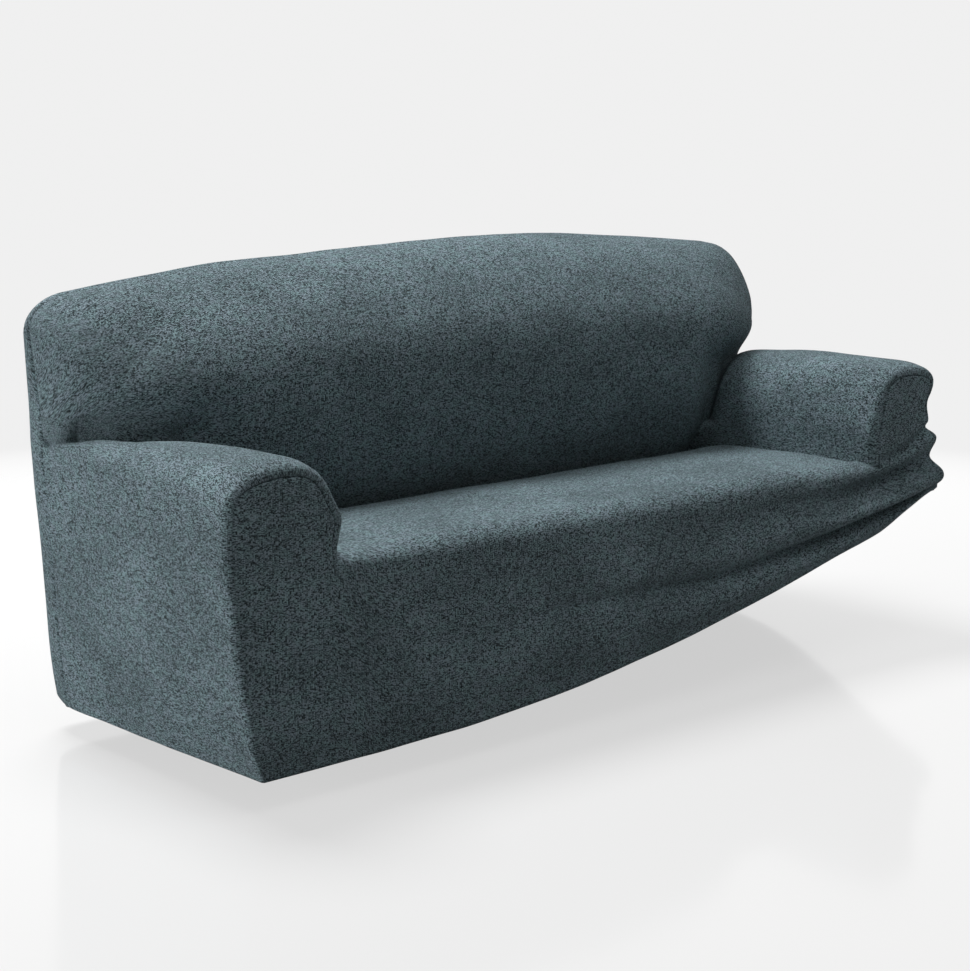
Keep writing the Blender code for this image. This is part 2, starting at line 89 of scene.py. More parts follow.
# %% Outlines
OUTER_SIDE = (  # height, half length of the arms' outer sides
    (0.060, 0.942),
    (0.110, 0.958),
    (0.170, 0.967),
    (0.280, 0.987),
    (0.400, 1.001),
    (0.520, 1.006),
    (0.580, 1.000),
)
REAR_SIDE = (  # height, half length along the rear edge
    (0.060, 0.962),
    (0.130, 0.968),
    (0.240, 0.976),
    (0.360, 0.983),
    (0.490, 0.991),
    (0.602, 0.996),
)
ARM_TOP = (  # half length, height: from the outer side over to the inner face
    (1.000, 0.580),
    (0.988, 0.611),
    (0.962, 0.633),
    (0.925, 0.644),
    (0.870, 0.648),
    (0.822, 0.640),
    (0.787, 0.617),
    (0.765, 0.583),
    (0.757, 0.540),
    (0.755, 0.480),
)
CROWN = (  # place along the length, height
    (-1.00, 0.886),
    (-0.87, 0.903),
    (-0.72, 0.921),
    (-0.51, 0.938),
    (-0.30, 0.944),
    (-0.12, 0.950),
    (0.10, 0.956),
    (0.40, 0.951),
    (0.53, 0.942),
    (0.73, 0.922),
    (1.00, 0.894),
)
BACK_FACE = (  # height, depth of the inside of the back
    (0.400, 0.150),
    (0.430, 0.122),
    (0.470, 0.098),
    (0.540, 0.074),
    (0.620, 0.060),
    (0.700, 0.060),
    (0.780, 0.072),
    (0.860, 0.092),
    (0.960, 0.120),
)
DECK = (  # depth, height of the seat
    (-0.323, 0.456),
    (-0.180, 0.457),
    (-0.050, 0.450),
    (0.060, 0.436),
    (0.110, 0.426),
    (0.160, 0.416),
)
print("points of the deck, crown and arm top", len(DECK), len(CROWN), len(ARM_TOP))

# %% [markdown]
# At the right the hem is pulled up over the corner, so the front gathers in long folds that fade
# towards the left. Each row below is one upright cut through the front: where the seat's edge, the
# trough, the second fold, its crease, the band over the hem and the hem lie. A second table says
# how far each of those lines stands out. Two tables are easier to tune than a cloth simulation.

# %% Folds of the front
FOLDS = (  # x, then the heights of edge, trough, fold, crease, band, hem
    (-1.00, 0.436, 0.364, 0.290, 0.225, 0.150, 0.060),
    (-0.76, 0.436, 0.366, 0.295, 0.233, 0.158, 0.061),
    (-0.60, 0.420, 0.362, 0.299, 0.243, 0.166, 0.064),
    (-0.45, 0.414, 0.360, 0.303, 0.254, 0.172, 0.069),
    (-0.20, 0.410, 0.360, 0.308, 0.266, 0.182, 0.087),
    (0.05, 0.408, 0.364, 0.306, 0.266, 0.194, 0.123),
    (0.25, 0.407, 0.376, 0.302, 0.262, 0.208, 0.160),
    (0.45, 0.408, 0.388, 0.324, 0.280, 0.240, 0.203),
    (0.62, 0.414, 0.386, 0.333, 0.303, 0.272, 0.246),
    (0.78, 0.424, 0.398, 0.353, 0.330, 0.304, 0.283),
    (0.90, 0.443, 0.418, 0.374, 0.348, 0.338, 0.326),
    (1.00, 0.482, 0.438, 0.398, 0.370, 0.362, 0.354),
)
PROUD = (  # x, then how far each of those lines stands proud
    (-1.00, 0.000, 0.000, 0.000, 0.000, 0.000, -0.008),
    (-0.45, 0.000, 0.001, 0.001, -0.001, 0.004, -0.006),
    (-0.20, 0.000, 0.001, 0.003, -0.003, 0.009, -0.004),
    (0.05, 0.000, 0.000, 0.007, -0.007, 0.014, 0.000),
    (0.25, 0.000, -0.002, 0.013, -0.011, 0.018, 0.003),
    (0.45, 0.000, -0.005, 0.022, -0.014, 0.020, 0.005),
    (0.62, 0.001, -0.010, 0.030, -0.014, 0.022, 0.008),
    (0.78, 0.006, -0.016, 0.036, -0.011, 0.023, 0.010),
    (0.90, 0.013, -0.016, 0.034, -0.004, 0.018, 0.008),
    (1.00, 0.011, -0.003, 0.024, 0.008, 0.008, 0.002),
)
BENDS = (  # how the cloth goes from each line to the next: round crests, a sharp crease
    lambda t: t * t * (3 - 2 * t),
    lambda t: t * t * (3 - 2 * t),
    lambda t: t**2.4,
    lambda t: 1 - (1 - t) ** 1.9,
    lambda t: t * t * (3 - 2 * t),
)
ARM_PULL = (  # height, how far the pulled cloth draws the right arm in at its front
    (0.354, 0.006),
    (0.383, 0.008),
    (0.407, 0.018),
    (0.430, 0.026),
    (0.484, 0.028),
    (0.500, 0.034),
    (0.530, 0.040),
    (0.566, 0.042),
    (0.604, 0.016),
    (0.640, 0.003),
    (0.660, 0.000),
)
RIGHT_HEM = (  # depth, height of the hem round the right side
    (-0.373, 0.354),
    (-0.300, 0.318),
    (-0.180, 0.240),
    (-0.050, 0.154),
    (0.080, 0.094),
    (0.200, 0.066),
    (0.400, 0.060),
)
print("cuts through the front", len(FOLDS))

# %% [markdown]
# The step counts say how finely each panel is divided. About a centimetre between points is enough
# for soft folds, and rounded edges get more.

# %% Step counts
ROWS_PER_FOLD = 10
LEVELS = 5 * ROWS_PER_FOLD + 1  # rows of the front
ARCH_STEPS = 56
ARCH_SIDE = 10  # arch points that belong to the outer side of an arm's front
ARCH_INNER = 42  # the arch point where its inner side begins
SHOULDER_STEPS = 22
FOOT_STEPS = 8
EDGE_STEPS = 10
ARM_STEPS = 72
DECK_STEPS = 44
DECK_EDGE_STEPS = 14
LENGTH_STEPS = 170
BACK_ROUND_STEPS = 26
BACK_FACE_STEPS = 46
BACK_LENGTH_STEPS = 66
WRAP_STEPS = 14
REAR_STEPS = 50
REAR_ROUND_STEPS = 20
REAR_LENGTH_STEPS = 80
print("rows of the front", LEVELS)

# %% [markdown]
# A curve through a table keeps close to its points and has no kinks, as a maker's flexible ruler
# does. A short step from 0 to 1 is needed again and again, to let one form fade into the next.


# %% Curves through the tables
def curve(table, column=1):
    """A smooth function through one column of a table, whose first column gives the place."""
    xs = np.array([row[0] for row in table], float)
    ys = np.array([row[column] for row in table], float)
    slopes = np.diff(ys) / np.diff(xs)
    tangents = np.concatenate([slopes[:1], (slopes[:-1] + slopes[1:]) / 2, slopes[-1:]])

    def at(x):
        x = min(max(x, xs[0]), xs[-1])
        i = min(max(int(np.searchsorted(xs, x)) - 1, 0), len(xs) - 2)
        width = xs[i + 1] - xs[i]
        t = (x - xs[i]) / width
        start = ys[i] * (2 * t**3 - 3 * t**2 + 1) + tangents[i] * width * (t**3 - 2 * t**2 + t)
        end = ys[i + 1] * (3 * t**2 - 2 * t**3) + tangents[i + 1] * width * (t**3 - t**2)
        return float(start + end)

    return at


def smoothstep(low, high, value):
    """0 up to low and 1 from high on, with a smooth rise between them."""
    t = min(max((value - low) / (high - low), 0.0), 1.0)
    return t * t * (3 - 2 * t)


def mix(a, b, t):
    return a + (b - a) * t


outer_side = curve(OUTER_SIDE)
rear_side = curve(REAR_SIDE)
crown = curve(CROWN)
back_face = curve(BACK_FACE)
deck = curve(DECK)
arm_pull = curve(ARM_PULL)
right_hem = curve(RIGHT_HEM)
fold_lines = [curve(FOLDS, k) for k in range(1, 7)]
proud_lines = [curve(PROUD, k) for k in range(1, 7)]
print("crown at the middle", round(crown(0.0), 4))

# %% [markdown]
# The front is a stack of rows between the fold lines. A smooth curve through the six lines of each
# cut gives round folds, and the cut is the same for the seat's front and for the arms' corners, so
# the folds run on from one panel to the next.


# %% Rows of the front
def skirt_levels(x):
    """Height and proudness of each row of the front face at a place, from the seat's edge down."""
    heights = [line(x) for line in fold_lines]
    proud = [line(x) for line in proud_lines]
    levels = []
    for k in range(len(heights) - 1):
        for step in range(ROWS_PER_FOLD):
            t = step / ROWS_PER_FOLD
            place = mix(proud[k], proud[k + 1], BENDS[k](t))
            levels.append((mix(heights[k], heights[k + 1], t), place))
    levels.append((heights[-1], proud[-1]))
    return levels


LEDGE = 0.022  # how far above the seat's edge a fold that runs on over an arm has died away
PINCH = 0.9  # how deep the cloth is pinched in over that fold, as a share of the fold
PINCH_PLACE = 1.1  # how high over the seat's edge that is, in ledges
PINCH_WIDTH = 0.45
PULL_REACH = 0.160  # how far back from the front the pulled-up cloth draws the arm in
PULL_ACROSS = (0.785, 1.0)  # half lengths between which the drawing-in grows


def pulled(side, x, y, z):
    """A place on the right arm, drawn in where the pulled-up cloth tightens it near the front."""
    if side < 0:
        return -x, y, z
    fade = math.exp(-(((y - FRONT_Y) / PULL_REACH) ** 2))
    return x - arm_pull(z) * fade * smoothstep(*PULL_ACROSS, x), y, z


def over_edge(x, z):
    """How far the uppermost fold stands proud above the seat's edge, with the pinch over it."""
    edge, proud = skirt_levels(x)[0]
    rise = max(z - edge, 0.0) / LEDGE
    pinch = PINCH * math.exp(-(((rise - PINCH_PLACE) / PINCH_WIDTH) ** 2))
    return proud * (1 - smoothstep(0, 1, rise) - pinch)


print("seat's edge at the right corner", round(skirt_levels(1.0)[0][0], 4))

# %% [markdown]
# The back is a softly filled form: its upper corners are round seen from the front, and its face
# rounds away to the ends and the top. Rings that run parallel to the outline carry both: a place's
# inset from the outline says how far it has rounded forward.


# %% The back's rounded form
def corner_radius(inset):
    return min(CORNER_RADIUS + CORNER_GROWTH * inset, BACK_ROUND - inset)


def round_corner(dx, dz):
    """Moves a place in the square zone at an upper corner on to rings that round the corner."""
    a = 1.0 - dx / BACK_ROUND
    b = 1.0 - dz / BACK_ROUND
    inset = BACK_ROUND * (1.0 - max(a, b, 0.0))
    if a <= 0 or b <= 0:
        return dx, dz, inset
    radius = corner_radius(inset)
    straight = BACK_ROUND - inset - radius
    arc = radius * math.pi / 2
    share = 0.5 * b / a if a >= b else 1.0 - 0.5 * a / b
    along = share * (2 * straight + arc)
    if along < straight:
        return inset, BACK_ROUND - along, inset
    if along < straight + arc:
        angle = (along - straight) / radius
        across = inset + radius * (1 - math.cos(angle))
        down = inset + radius * (1 - math.sin(angle))
        return across, down, inset
    return inset + radius + along - straight - arc, inset, inset


def inset_at(dx, dz):
    """Inset of the ring that passes through a place, by halving."""
    if dx >= BACK_ROUND or dz >= BACK_ROUND:
        return max(min(dx, dz), 0.0)
    low = 0.0
    high = max(min(dx, dz), 0.0)
    for _ in range(30):
        inset = (low + high) / 2
        radius = corner_radius(inset)
        outside = math.hypot(max(inset + radius - dx, 0), max(inset + radius - dz, 0)) > radius
        low, high = (low, inset) if outside else (inset, high)
    return low


print("rounding of the back, ends and crown", END_ROUND, BACK_ROUND)

# %% [markdown]
# Where the back meets an arm the real cover goes in to a deep crease. So the back's surface curves
# away above and beside each arm, by two soft steps that are multiplied. At the ends the rear seam
# comes forward, as it does in the photograph.

# %% The back's depth, with the tucks over the arms
SEAM_LEAD = 0.036  # how far forward of its place at the top the rear seam runs low down
SEAM_LEAD_HEIGHTS = (0.62, 0.86)  # heights between which it goes back there
ARM_TUCK = 0.055  # how far the back curves away where it meets an arm
TUCK_LIFT = 0.020  # how high above the arm that starts to fade
TUCK_SPREAD = 0.060  # and how quickly it fades from there
TUCK_SIDE = 0.085  # how far along the back, inward from the arm, that fades out
TUCK_END_X = 0.940  # half length from which it fades towards the back's end


def seam_y(z):
    """Depth of the rear seam: it comes forward as it runs down the back's ends."""
    return REAR_SEAM_Y - SEAM_LEAD * (1 - smoothstep(*SEAM_LEAD_HEIGHTS, z))


def arm_tuck(x, z):
    """How far the back curves away beside an arm and just above it."""
    beside = math.exp(-((max(ARM_INNER_X - abs(x), 0.0) / TUCK_SIDE) ** 2))
    above = math.exp(-((max(z - BACK_END_Z - TUCK_LIFT, 0.0) / TUCK_SPREAD) ** 2))
    return ARM_TUCK * beside * above * (1.0 - smoothstep(TUCK_END_X, BACK_END_X, abs(x)))


def face_depth(inset, x, z):
    """Y of the back's inside surface on a ring, with the tuck round each arm."""
    edge = 1.0 - min(inset / BACK_ROUND, 1.0)
    flat = (1.0 - edge**BACK_ROUND_POWER) ** (1 / BACK_ROUND_POWER)
    return min(mix(seam_y(z), back_face(z), flat) + arm_tuck(x, z), seam_y(z) - SEAM_GAP)


def depth_at(x, z):
    inset = inset_at((BACK_END_X - abs(x)) * END_SQUEEZE, crown(x) - z)
    return face_depth(inset, x, z)


def end_reach(z):
    return rear_side(z) if z < REAR_SIDE[-1][0] else BACK_END_X


def back_place(x, dz):
    """Where a place on the back's square plan lands on its rounded outline: x, z and inset."""
    across, down, inset = round_corner((BACK_END_X - abs(x)) * END_SQUEEZE, dz)
    across /= END_SQUEEZE
    place = math.copysign(BACK_END_X - across, x)
    z = crown(place) - down
    return place * end_reach(z) / BACK_END_X, z, inset


def both_ways(half):
    return [-x for x in half] + list(half)[::-1]


print("face of the back at 0.7 m", round(depth_at(0.0, 0.7), 4))

# %% [markdown]
# Real cloth never lies perfectly even. A slow wave of a millimetre or two, and a few long soft dents,
# are added as one field that all panels share. Both sides of a seam then move together, so no gap
# opens between two panels. The waves come from Blender's noise, which starts from the clock unless it
# is given a seed, so a fixed seed makes every run the same.

# %% Soft unevenness
WAVE_SEED = 1795551443
noise.seed_set(WAVE_SEED)
WAVES = (  # length of a wave, how far it moves the cloth
    (0.240, 0.0030),
    (0.080, 0.0008),
)
DENTS = (  # start, end, width, how far the cloth moves there
    ((-0.740, -0.378, 0.400), (-0.560, -0.378, 0.360), 0.020, (0.0, 0.003, 0.0)),
    ((0.985, 0.060, 0.615), (0.985, 0.360, 0.615), 0.055, (-0.034, 0.0, 0.0)),
    ((-0.970, 0.350, 0.050), (-0.960, 0.350, 0.050), 0.045, (0.0, 0.0, 0.017)),
    ((-0.996, 0.275, 0.611), (-0.965, 0.225, 0.619), 0.011, (0.014, 0.008, -0.002)),
)


def settle(points):
    """The points moved by the waves and dents."""
    points = np.array(points, float)
    moved = points.copy()
    for length, reach in WAVES:
        for k, point in enumerate(points):
            moved[k] += np.array(noise.noise_vector(Vector(point) / length)) * reach
    for start, end, width, push in DENTS:
        start, end = np.array(start), np.array(end)
        line = end - start
        along = np.clip((points - start) @ line / (line @ line), 0, 1)
        away = np.linalg.norm(points - (start + along[:, None] * line), axis=1)
        moved += np.exp(-((away / width) ** 2))[:, None] * np.array(push)
    return moved


print("waves", len(WAVES), "dents", len(DENTS))

# %% [markdown]
# At a seam both panels roll in and their edges are turned inside, as sewn cloth is, and at the hem
# a strip is folded up inside. These strips are added to the grid of a panel, so the seam is a real
# groove that catches the light, and not only a painted line. Each point comes with its place in
# the flat cloth.

# %% Seams and hems
TURN_IN = (0.0012, 0.0070)  # rows of the seam allowance, inward from a seam
HEM_FOLD = ((0.0040, -0.0004), (0.0045, 0.0140))  # rows of the folded hem: inward, up
SEAM_ROLL = ((0.0, 1.0), (0.22, 0.60), (0.55, 0.20), (1.0, 0.0))  # share of the roll, of its depth
SEAM_REACH = 0.0075  # how far from a seam the cloth starts to roll in
ROLL_LIMIT = 0.85  # a roll ends before this share of the step to the grid's next row
SEAM_DEPTH = 0.0034
REAR_SEAM_DEPTH = 0.0050  # the rear seam is pulled in deeper


def turned_in(border, ways):
    """The strip of a seam allowance. border is a row of (point, uv), ways the way in at each."""
    strip = [border]
    for depth in TURN_IN:
        row = []
        for (point, uv), way in zip(border, ways):
            row.append((tuple(np.array(point) + np.array(way) * depth), (uv[0], uv[1] + depth)))
        strip.append(row)
    return strip


def rolled_in(grid, ways, depths):
    """The grid with rows added beside its first row, which sinks in as it rolls into a seam."""
    rows = []
    for along, sunk in SEAM_ROLL:
        row = []
        for k, (point, uv) in enumerate(grid[0]):
            start, end = np.array(point), np.array(grid[1][k][0])
            step = max(np.linalg.norm(end - start), 1e-9)
            share = along * min(SEAM_REACH / step, ROLL_LIMIT)
            place = mix(start, end, share) + np.array(ways[k]) * depths[k] * sunk
            row.append((tuple(place), tuple(mix(np.array(uv), np.array(grid[1][k][1]), share))))
        rows.append(row)
    return rows + grid[1:]


def turned(grid):
    """The grid with its columns as rows."""
    return [list(column) for column in zip(*grid)]


def hem_fold(border, ways):
    """The strip that is folded up inside the hem."""
    strip = [border]
    for inward, up in HEM_FOLD:
        row = []
        for (point, uv), way in zip(border, ways):
            place = np.array(point) + np.array(way) * inward + (0.0, 0.0, up)
            row.append((tuple(place), (uv[0], uv[1] + up)))
        strip.append(row)
    return strip


print("seam groove", SEAM_DEPTH, "hem fold", HEM_FOLD[-1][1])

# %% [markdown]
# One maker turns any grid of points into a panel: it joins the grids, gives every point a place in
# the flat cloth (its UV, in metres, so that the weave keeps its size and direction), and gives the
# sheet its thickness towards the inside. The reverse gets its own material from the same modifier.

# %% Panel maker
WEAVE_UV = "Weave"
MEET = 2e-5  # points closer than this are joined


def panel(name, grids, outward, materials):
    """A panel from grids of (point, uv). Points that meet are joined."""
    sheet = bmesh.new()
    layer = sheet.loops.layers.uv.new(WEAVE_UV)
    for grid in grids:
        rows = [[(sheet.verts.new(point), uv) for point, uv in row] for row in grid]
        for upper, lower in zip(rows, rows[1:]):
            for k in range(len(upper) - 1):
                corners = (upper[k], upper[k + 1], lower[k + 1], lower[k])
                face = sheet.faces.new([vert for vert, _ in corners])
                for loop, (_, uv) in zip(face.loops, corners):
                    loop[layer].uv = uv
    bmesh.ops.remove_doubles(sheet, verts=sheet.verts, dist=MEET)
    bmesh.ops.recalc_face_normals(sheet, faces=sheet.faces)
    facing = sum(face.calc_area() * face.normal.dot(outward) for face in sheet.faces)
    if facing < 0:
        bmesh.ops.reverse_faces(sheet, faces=sheet.faces)
    for vert, place in zip(sheet.verts, settle([vert.co for vert in sheet.verts])):
        vert.co = Vector(place) - Vector(HOLD_POINT)
    mesh = bpy.data.meshes.new(name)
    sheet.to_mesh(mesh)
    sheet.free()
    mesh.shade_smooth()
    for material in materials:
        mesh.materials.append(material)
    piece = bpy.data.objects.new(name, mesh)
    bpy.context.scene.collection.objects.link(piece)
    thickness = piece.modifiers.new("Cloth", "SOLIDIFY")
    thickness.thickness = CLOTH
    thickness.offset = -1.0
    thickness.material_offset = 1
    return piece


def run_lengths(points):
    """Distance along a line of points, from its start."""
    steps = np.linalg.norm(np.diff(np.array(points, float), axis=0), axis=1)
    return np.concatenate([[0.0], np.cumsum(steps)])


print("cloth", CLOTH, "thick, weave places in", WEAVE_UV)

# %% [markdown]
# An arm is one panel: outer side, rounded top and inner side. Its front edge rounds over to the
# arch seam, its rear edge runs up the rear seam and then along the crease under the back. It is
# drawn as a section of the arm, carried from front to rear by rows.

# %% The section of an arm
ARM_CUT_Z = 0.45  # height at which the arm's half length picks its cut through the front
ARM_CUT_X = outer_side(ARM_CUT_Z)
TOP_HEIGHTS = (0.54, 0.63)  # heights between which an arm's top takes up its rise or its sinking
BULGE_ACROSS = (0.86, 0.78)  # half lengths from which to which the inner side's swelling grows
BULGE_Z = 0.528
BULGE_SPREAD = 0.036


def arch_points():
    """Evenly spaced points of the arm's rounded top, from the outer side to the inner face."""
    points = np.array(ARM_TOP)
    table = np.column_stack([run_lengths(points), points])
    across = curve(table, 1)
    up = curve(table, 2)
    return [(across(s), up(s)) for s in np.linspace(0.0, table[-1, 0], ARCH_STEPS + 1)]


ARCH = arch_points()


def arm_section(side):
    """The arm's section, hem to seat: rows of half length, height and proudness."""
    levels = skirt_levels(side * ARM_CUT_X)[::-1]
    rows = [(outer_side(z), z, proud) for z, proud in levels]
    edge = levels[-1][0]
    for share in np.linspace(0, 1, SHOULDER_STEPS + 1)[1:-1]:
        z = mix(edge, ARM_TOP[0][1], share)
        rows.append((outer_side(z), z, over_edge(side * ARM_CUT_X, z)))
    rise = RIGHT_ARM_RISE if side > 0 else 0.0
    for x, z in ARCH:
        over_seat = ARM_BULGE[side] * smoothstep(*BULGE_ACROSS, x)
        x -= over_seat * math.exp(-(((z - BULGE_Z) / BULGE_SPREAD) ** 2))
        rows.append((x, z + rise * smoothstep(*TOP_HEIGHTS, z), 0.0))
    for share in np.linspace(0, 1, FOOT_STEPS + 1)[1:]:
        rows.append((ARM_INNER_X, mix(ARM_TOP[-1][1], edge, share), 0.0))
    return np.array(rows)


SECTIONS = {side: arm_section(side) for side in (-1, 1)}
ARCH_START = LEVELS + SHOULDER_STEPS - 1
ARCH_END = ARCH_START + ARCH_STEPS
print("points round an arm", len(SECTIONS[-1]))

# %% [markdown]
# Where the cloth meets something soft it gives a little: the seat sinks towards the right arm, and
# each arm's top slopes down to its arch seam before the roll. The roll itself has a small radius
# over the arch, so the seam line stays crisp, and a larger one at the arm's inner edge.

# %% The arm's front edge
SEAT_SAG = 0.011  # how far the seat's cloth sinks towards the right arm
SAG_ACROSS = (0.40, 0.74)  # places along the length between which it sinks
SAG_DEPTHS = (-0.10, 0.12)  # depths between which the sinking ends towards the rear
SEAM_PAST = 0.35  # radians that the arm's rounded front edge rolls on past its foremost line
PAST_SPAN = (12, 14)  # arch points over which that grows, and over which it fades again
ARCH_DROOP = 0.009  # how far the arm's top slopes down to the arch seam
DROOP_SPAN = (10, 16)
DROOP_REACH = 0.035
INNER_EDGE = 32  # the arch point where the edge's radius starts to grow
FOOT_CLEAR = 0.004  # how far above the seat the arm's inner edge ends at the arch seam


def outward_normals(section):
    along = np.gradient(section[:, :2], axis=0)
    along /= np.linalg.norm(along, axis=1)[:, None]
    return np.column_stack([along[:, 1], -along[:, 0]])


def deck_height(x, y):
    """Height of the seat's flat part, which sinks beside the right arm, but not at the rear."""
    return deck(y) - SEAT_SAG * smoothstep(*SAG_ACROSS, x) * (1 - smoothstep(*SAG_DEPTHS, y))


def seat_height(y, x):
    """Height of the seat's surface, over its rounded front edge too."""
    if y >= DECK[0][0]:
        return deck_height(x, y)
    edge, proud = skirt_levels(x)[0]
    forward = min((DECK[0][0] - y) / (DECK_EDGE_ROUND + proud), 1.0)
    return mix(edge, deck_height(x, DECK[0][0]), math.sqrt(1.0 - forward**2))


def over_arch(k, span):
    """1 on the arm's arch and 0 down its sides. span says over how many points it changes."""
    grown = smoothstep(ARCH_START, ARCH_START + span[0], k)
    return grown * (1 - smoothstep(ARCH_END - span[1], ARCH_END, k))


def past_edge(k):
    """How far the roll goes on at a point of the section: over the arch, not down its sides."""
    return SEAM_PAST * over_arch(k, PAST_SPAN)


def edge_round(k):
    """Radius of the arm's front edge at a point of the section."""
    return mix(ARCH_EDGE_ROUND, ARM_EDGE_ROUND, smoothstep(ARCH_START + INNER_EDGE, ARCH_END, k))


def droop(k, y):
    """How far the arm's top has sunk at a depth near its front."""
    return ARCH_DROOP * over_arch(k, DROOP_SPAN) * math.exp(-(((y - FRONT_Y) / DROOP_REACH) ** 2))


def edge_ring(side, share, extra=0.0):
    """The section's points on the arm's rounded front edge. share is 0 at the arch seam."""
    section = SECTIONS[side]
    normals = outward_normals(section)
    ring = []
    for k, (x, z, proud) in enumerate(section):
        turn = mix(-past_edge(k), math.pi / 2, share)
        y = FRONT_Y + edge_round(k) * (1 - math.cos(turn))
        inset = edge_round(k) * (1 - math.sin(turn)) + extra + droop(k, y)
        seat = seat_height(y, side * ARM_INNER_X)
        nx, nz = normals[k]
        if k > ARCH_END:
            foot = seat + mix(FOOT_CLEAR, -ARM_UNDER_DECK, math.sin(turn) ** 2)
            z = mix(ARM_TOP[-1][1], foot, (k - ARCH_END) / FOOT_STEPS)
            nx, nz = -1.0, 0.0
        px = x - nx * inset + nx * proud * math.sin(turn)
        pz = z - nz * inset * smoothstep(LEVELS, ARCH_START, k)
        ring.append(pulled(side, px, y - proud * math.cos(turn), pz))
    return ring


print("roll over the arch", ARCH_EDGE_ROUND, "at the inner edge", ARM_EDGE_ROUND)

# %% [markdown]
# At its rear an arm's cloth ends in three ways: low down it is sewn to the rear panel, above that
# it lies in the crease under the back's end, and over the arm's top and inner side it ends against
# the inside of the back. One function says where each lengthwise line ends.

# %% The arm's rear end
ARM_DIP = 0.014  # how far an arm's top dips into the crease under the back
CREASE_Z = 0.618  # height of the crease between the back's end and the arm's outer side
CREASE_CORNER = 0.003  # how close to the back's end it comes down to the rear seam
CREASE_SHARE = 4 / 13  # share of the arch that ends in that crease


def arm_sink(side, z):
    """How far a place on the arm's top sinks by the time it reaches the back."""
    return ARM_REAR_SINK[side] * smoothstep(*TOP_HEIGHTS, z)


def crease_height(side, x):
    """Height of the crease between the back's end and the arm, near the arm's outer side."""
    table = np.array(ARM_TOP)[::-1]
    on_arm = float(np.interp(x, table[:, 0], table[:, 1]))
    start = mix(CREASE_Z, BACK_END_Z, math.exp(-(BACK_END_X - x) / CREASE_CORNER))
    return max(on_arm - arm_sink(side, on_arm), start)


TURN_K = ARCH_START + round(ARCH_STEPS * CREASE_SHARE)  # where it turns on to the arm's top


def rear_end(side, k):
    """Where lengthwise line k ends: on the rear seam, in the crease, or on the back's inside."""
    x = SECTIONS[side][k][0]
    if k <= ARCH_START:
        z = mix(HEM_Z, BACK_END_Z, k / ARCH_START)
        return end_reach(z), seam_y(z) - SEAM_GAP, z
    if k < TURN_K:
        t = (k - ARCH_START) / (TURN_K - ARCH_START)
        x = BACK_END_X - CREASE_TURN * t * t
        z = crease_height(side, x)
        return x, depth_at(x, z) - CREASE_GAP * t, z
    if k <= ARCH_END:
        x, z = ARCH[k - ARCH_START]
        z -= arm_sink(side, z)
        return x, depth_at(x, z) - CREASE_GAP, z
    foot = SEAT_CREASE_Z - ARM_UNDER_DECK
    z = mix(ARM_TOP[-1][1], foot, (k - ARCH_END) / FOOT_STEPS)
    return x, depth_at(x, z) - CREASE_GAP, z


print("crease at the left arm's outer side", round(crease_height(-1, 0.98), 4))

# %% [markdown]
# The rows of an arm run round its section, first over the front edge and then back to the rear.
# Between the two ends they blend from the one section to the other. The outer side keeps its hem
# level, the top sinks late, and just before the crease under the back it dips.

# %% Rows of an arm
ARM_ROW_POWER = 1.35  # how much closer the rows lie towards the rear
TOP_HOLD = 3.0  # how long an arm's top keeps its height before it sinks towards the back
TOP_BLEND = 6  # arch points over which that starts
DIP_POINTS = (3, 14)  # arch points between which the dip into the crease grows
DIP_REACH = 0.016


def arm_rows(side):
    """An arm's rows of points, from the arch seam over the front edge and along to the rear."""
    section = SECTIONS[side]
    normals = outward_normals(section)
    rows = [edge_ring(side, share) for share in np.linspace(0, 1, EDGE_STEPS + 1)]
    ends = [rear_end(side, k) for k in range(len(section))]
    hem_front = section[0][1]
    edge_front = section[LEVELS - 1][1]
    edge_rear = ends[LEVELS - 1][2]
    for t in np.linspace(0, 1, ARM_STEPS + 1)[1:]:
        t = 1.0 - (1.0 - t) ** ARM_ROW_POWER
        row = []
        for k, (x, z, proud) in enumerate(section):
            end_x, end_y, end_z = ends[k]
            start = FRONT_Y + edge_round(k)
            y = mix(start, end_y, t)
            fade = math.exp(-(((y - start) / PULL_REACH) ** 2))
            px = mix(x, end_x, t)
            hold = mix(1.0, TOP_HOLD, smoothstep(LEVELS, ARCH_START + TOP_BLEND, k))
            pz = mix(z, end_z, t**hold)
            on_top = smoothstep(ARCH_START + DIP_POINTS[0], ARCH_START + DIP_POINTS[1], k)
            dip = ARM_DIP * on_top * math.exp(-(end_y - y) / DIP_REACH)
            if k < LEVELS:
                front_share = (z - hem_front) / (edge_front - hem_front)
                rear_share = (end_z - HEM_Z) / (edge_rear - HEM_Z)
                hem = right_hem(y) if side > 0 else HEM_Z
                pz = mix(hem, mix(edge_front, edge_rear, t), mix(front_share, rear_share, t))
            if k <= ARCH_START:
                px = mix(outer_side(pz), end_reach(pz), t)
            if k > ARCH_END:
                foot = seat_height(y, side * x) - ARM_UNDER_DECK
                pz = mix(ARM_TOP[-1][1], foot, (k - ARCH_END) / FOOT_STEPS)
            nx, nz = normals[k]
            dip += droop(k, y)
            row.append(pulled(side, px + proud * fade - nx * dip, y, pz - nz * dip))
        rows.append(row)
    return rows


print("rows of an arm", EDGE_STEPS + 1 + ARM_STEPS)

# %% [markdown]
# Each point's place in the cloth is its run along the arm and round it. On the front edge the rows
# shrink, so there the places round the arm are kept from the last full row, or the weave would
# slant. Then the panel gets its seams: at the arch, at the rear seam and at the hem.

# %% Arm panels
ARM_WEAVE = {-1: 2.0, 1: 4.0}  # where each arm lies in the cloth, in metres
REAR_SEAM_POINTS = 6  # arch points that the rear seam still pulls in


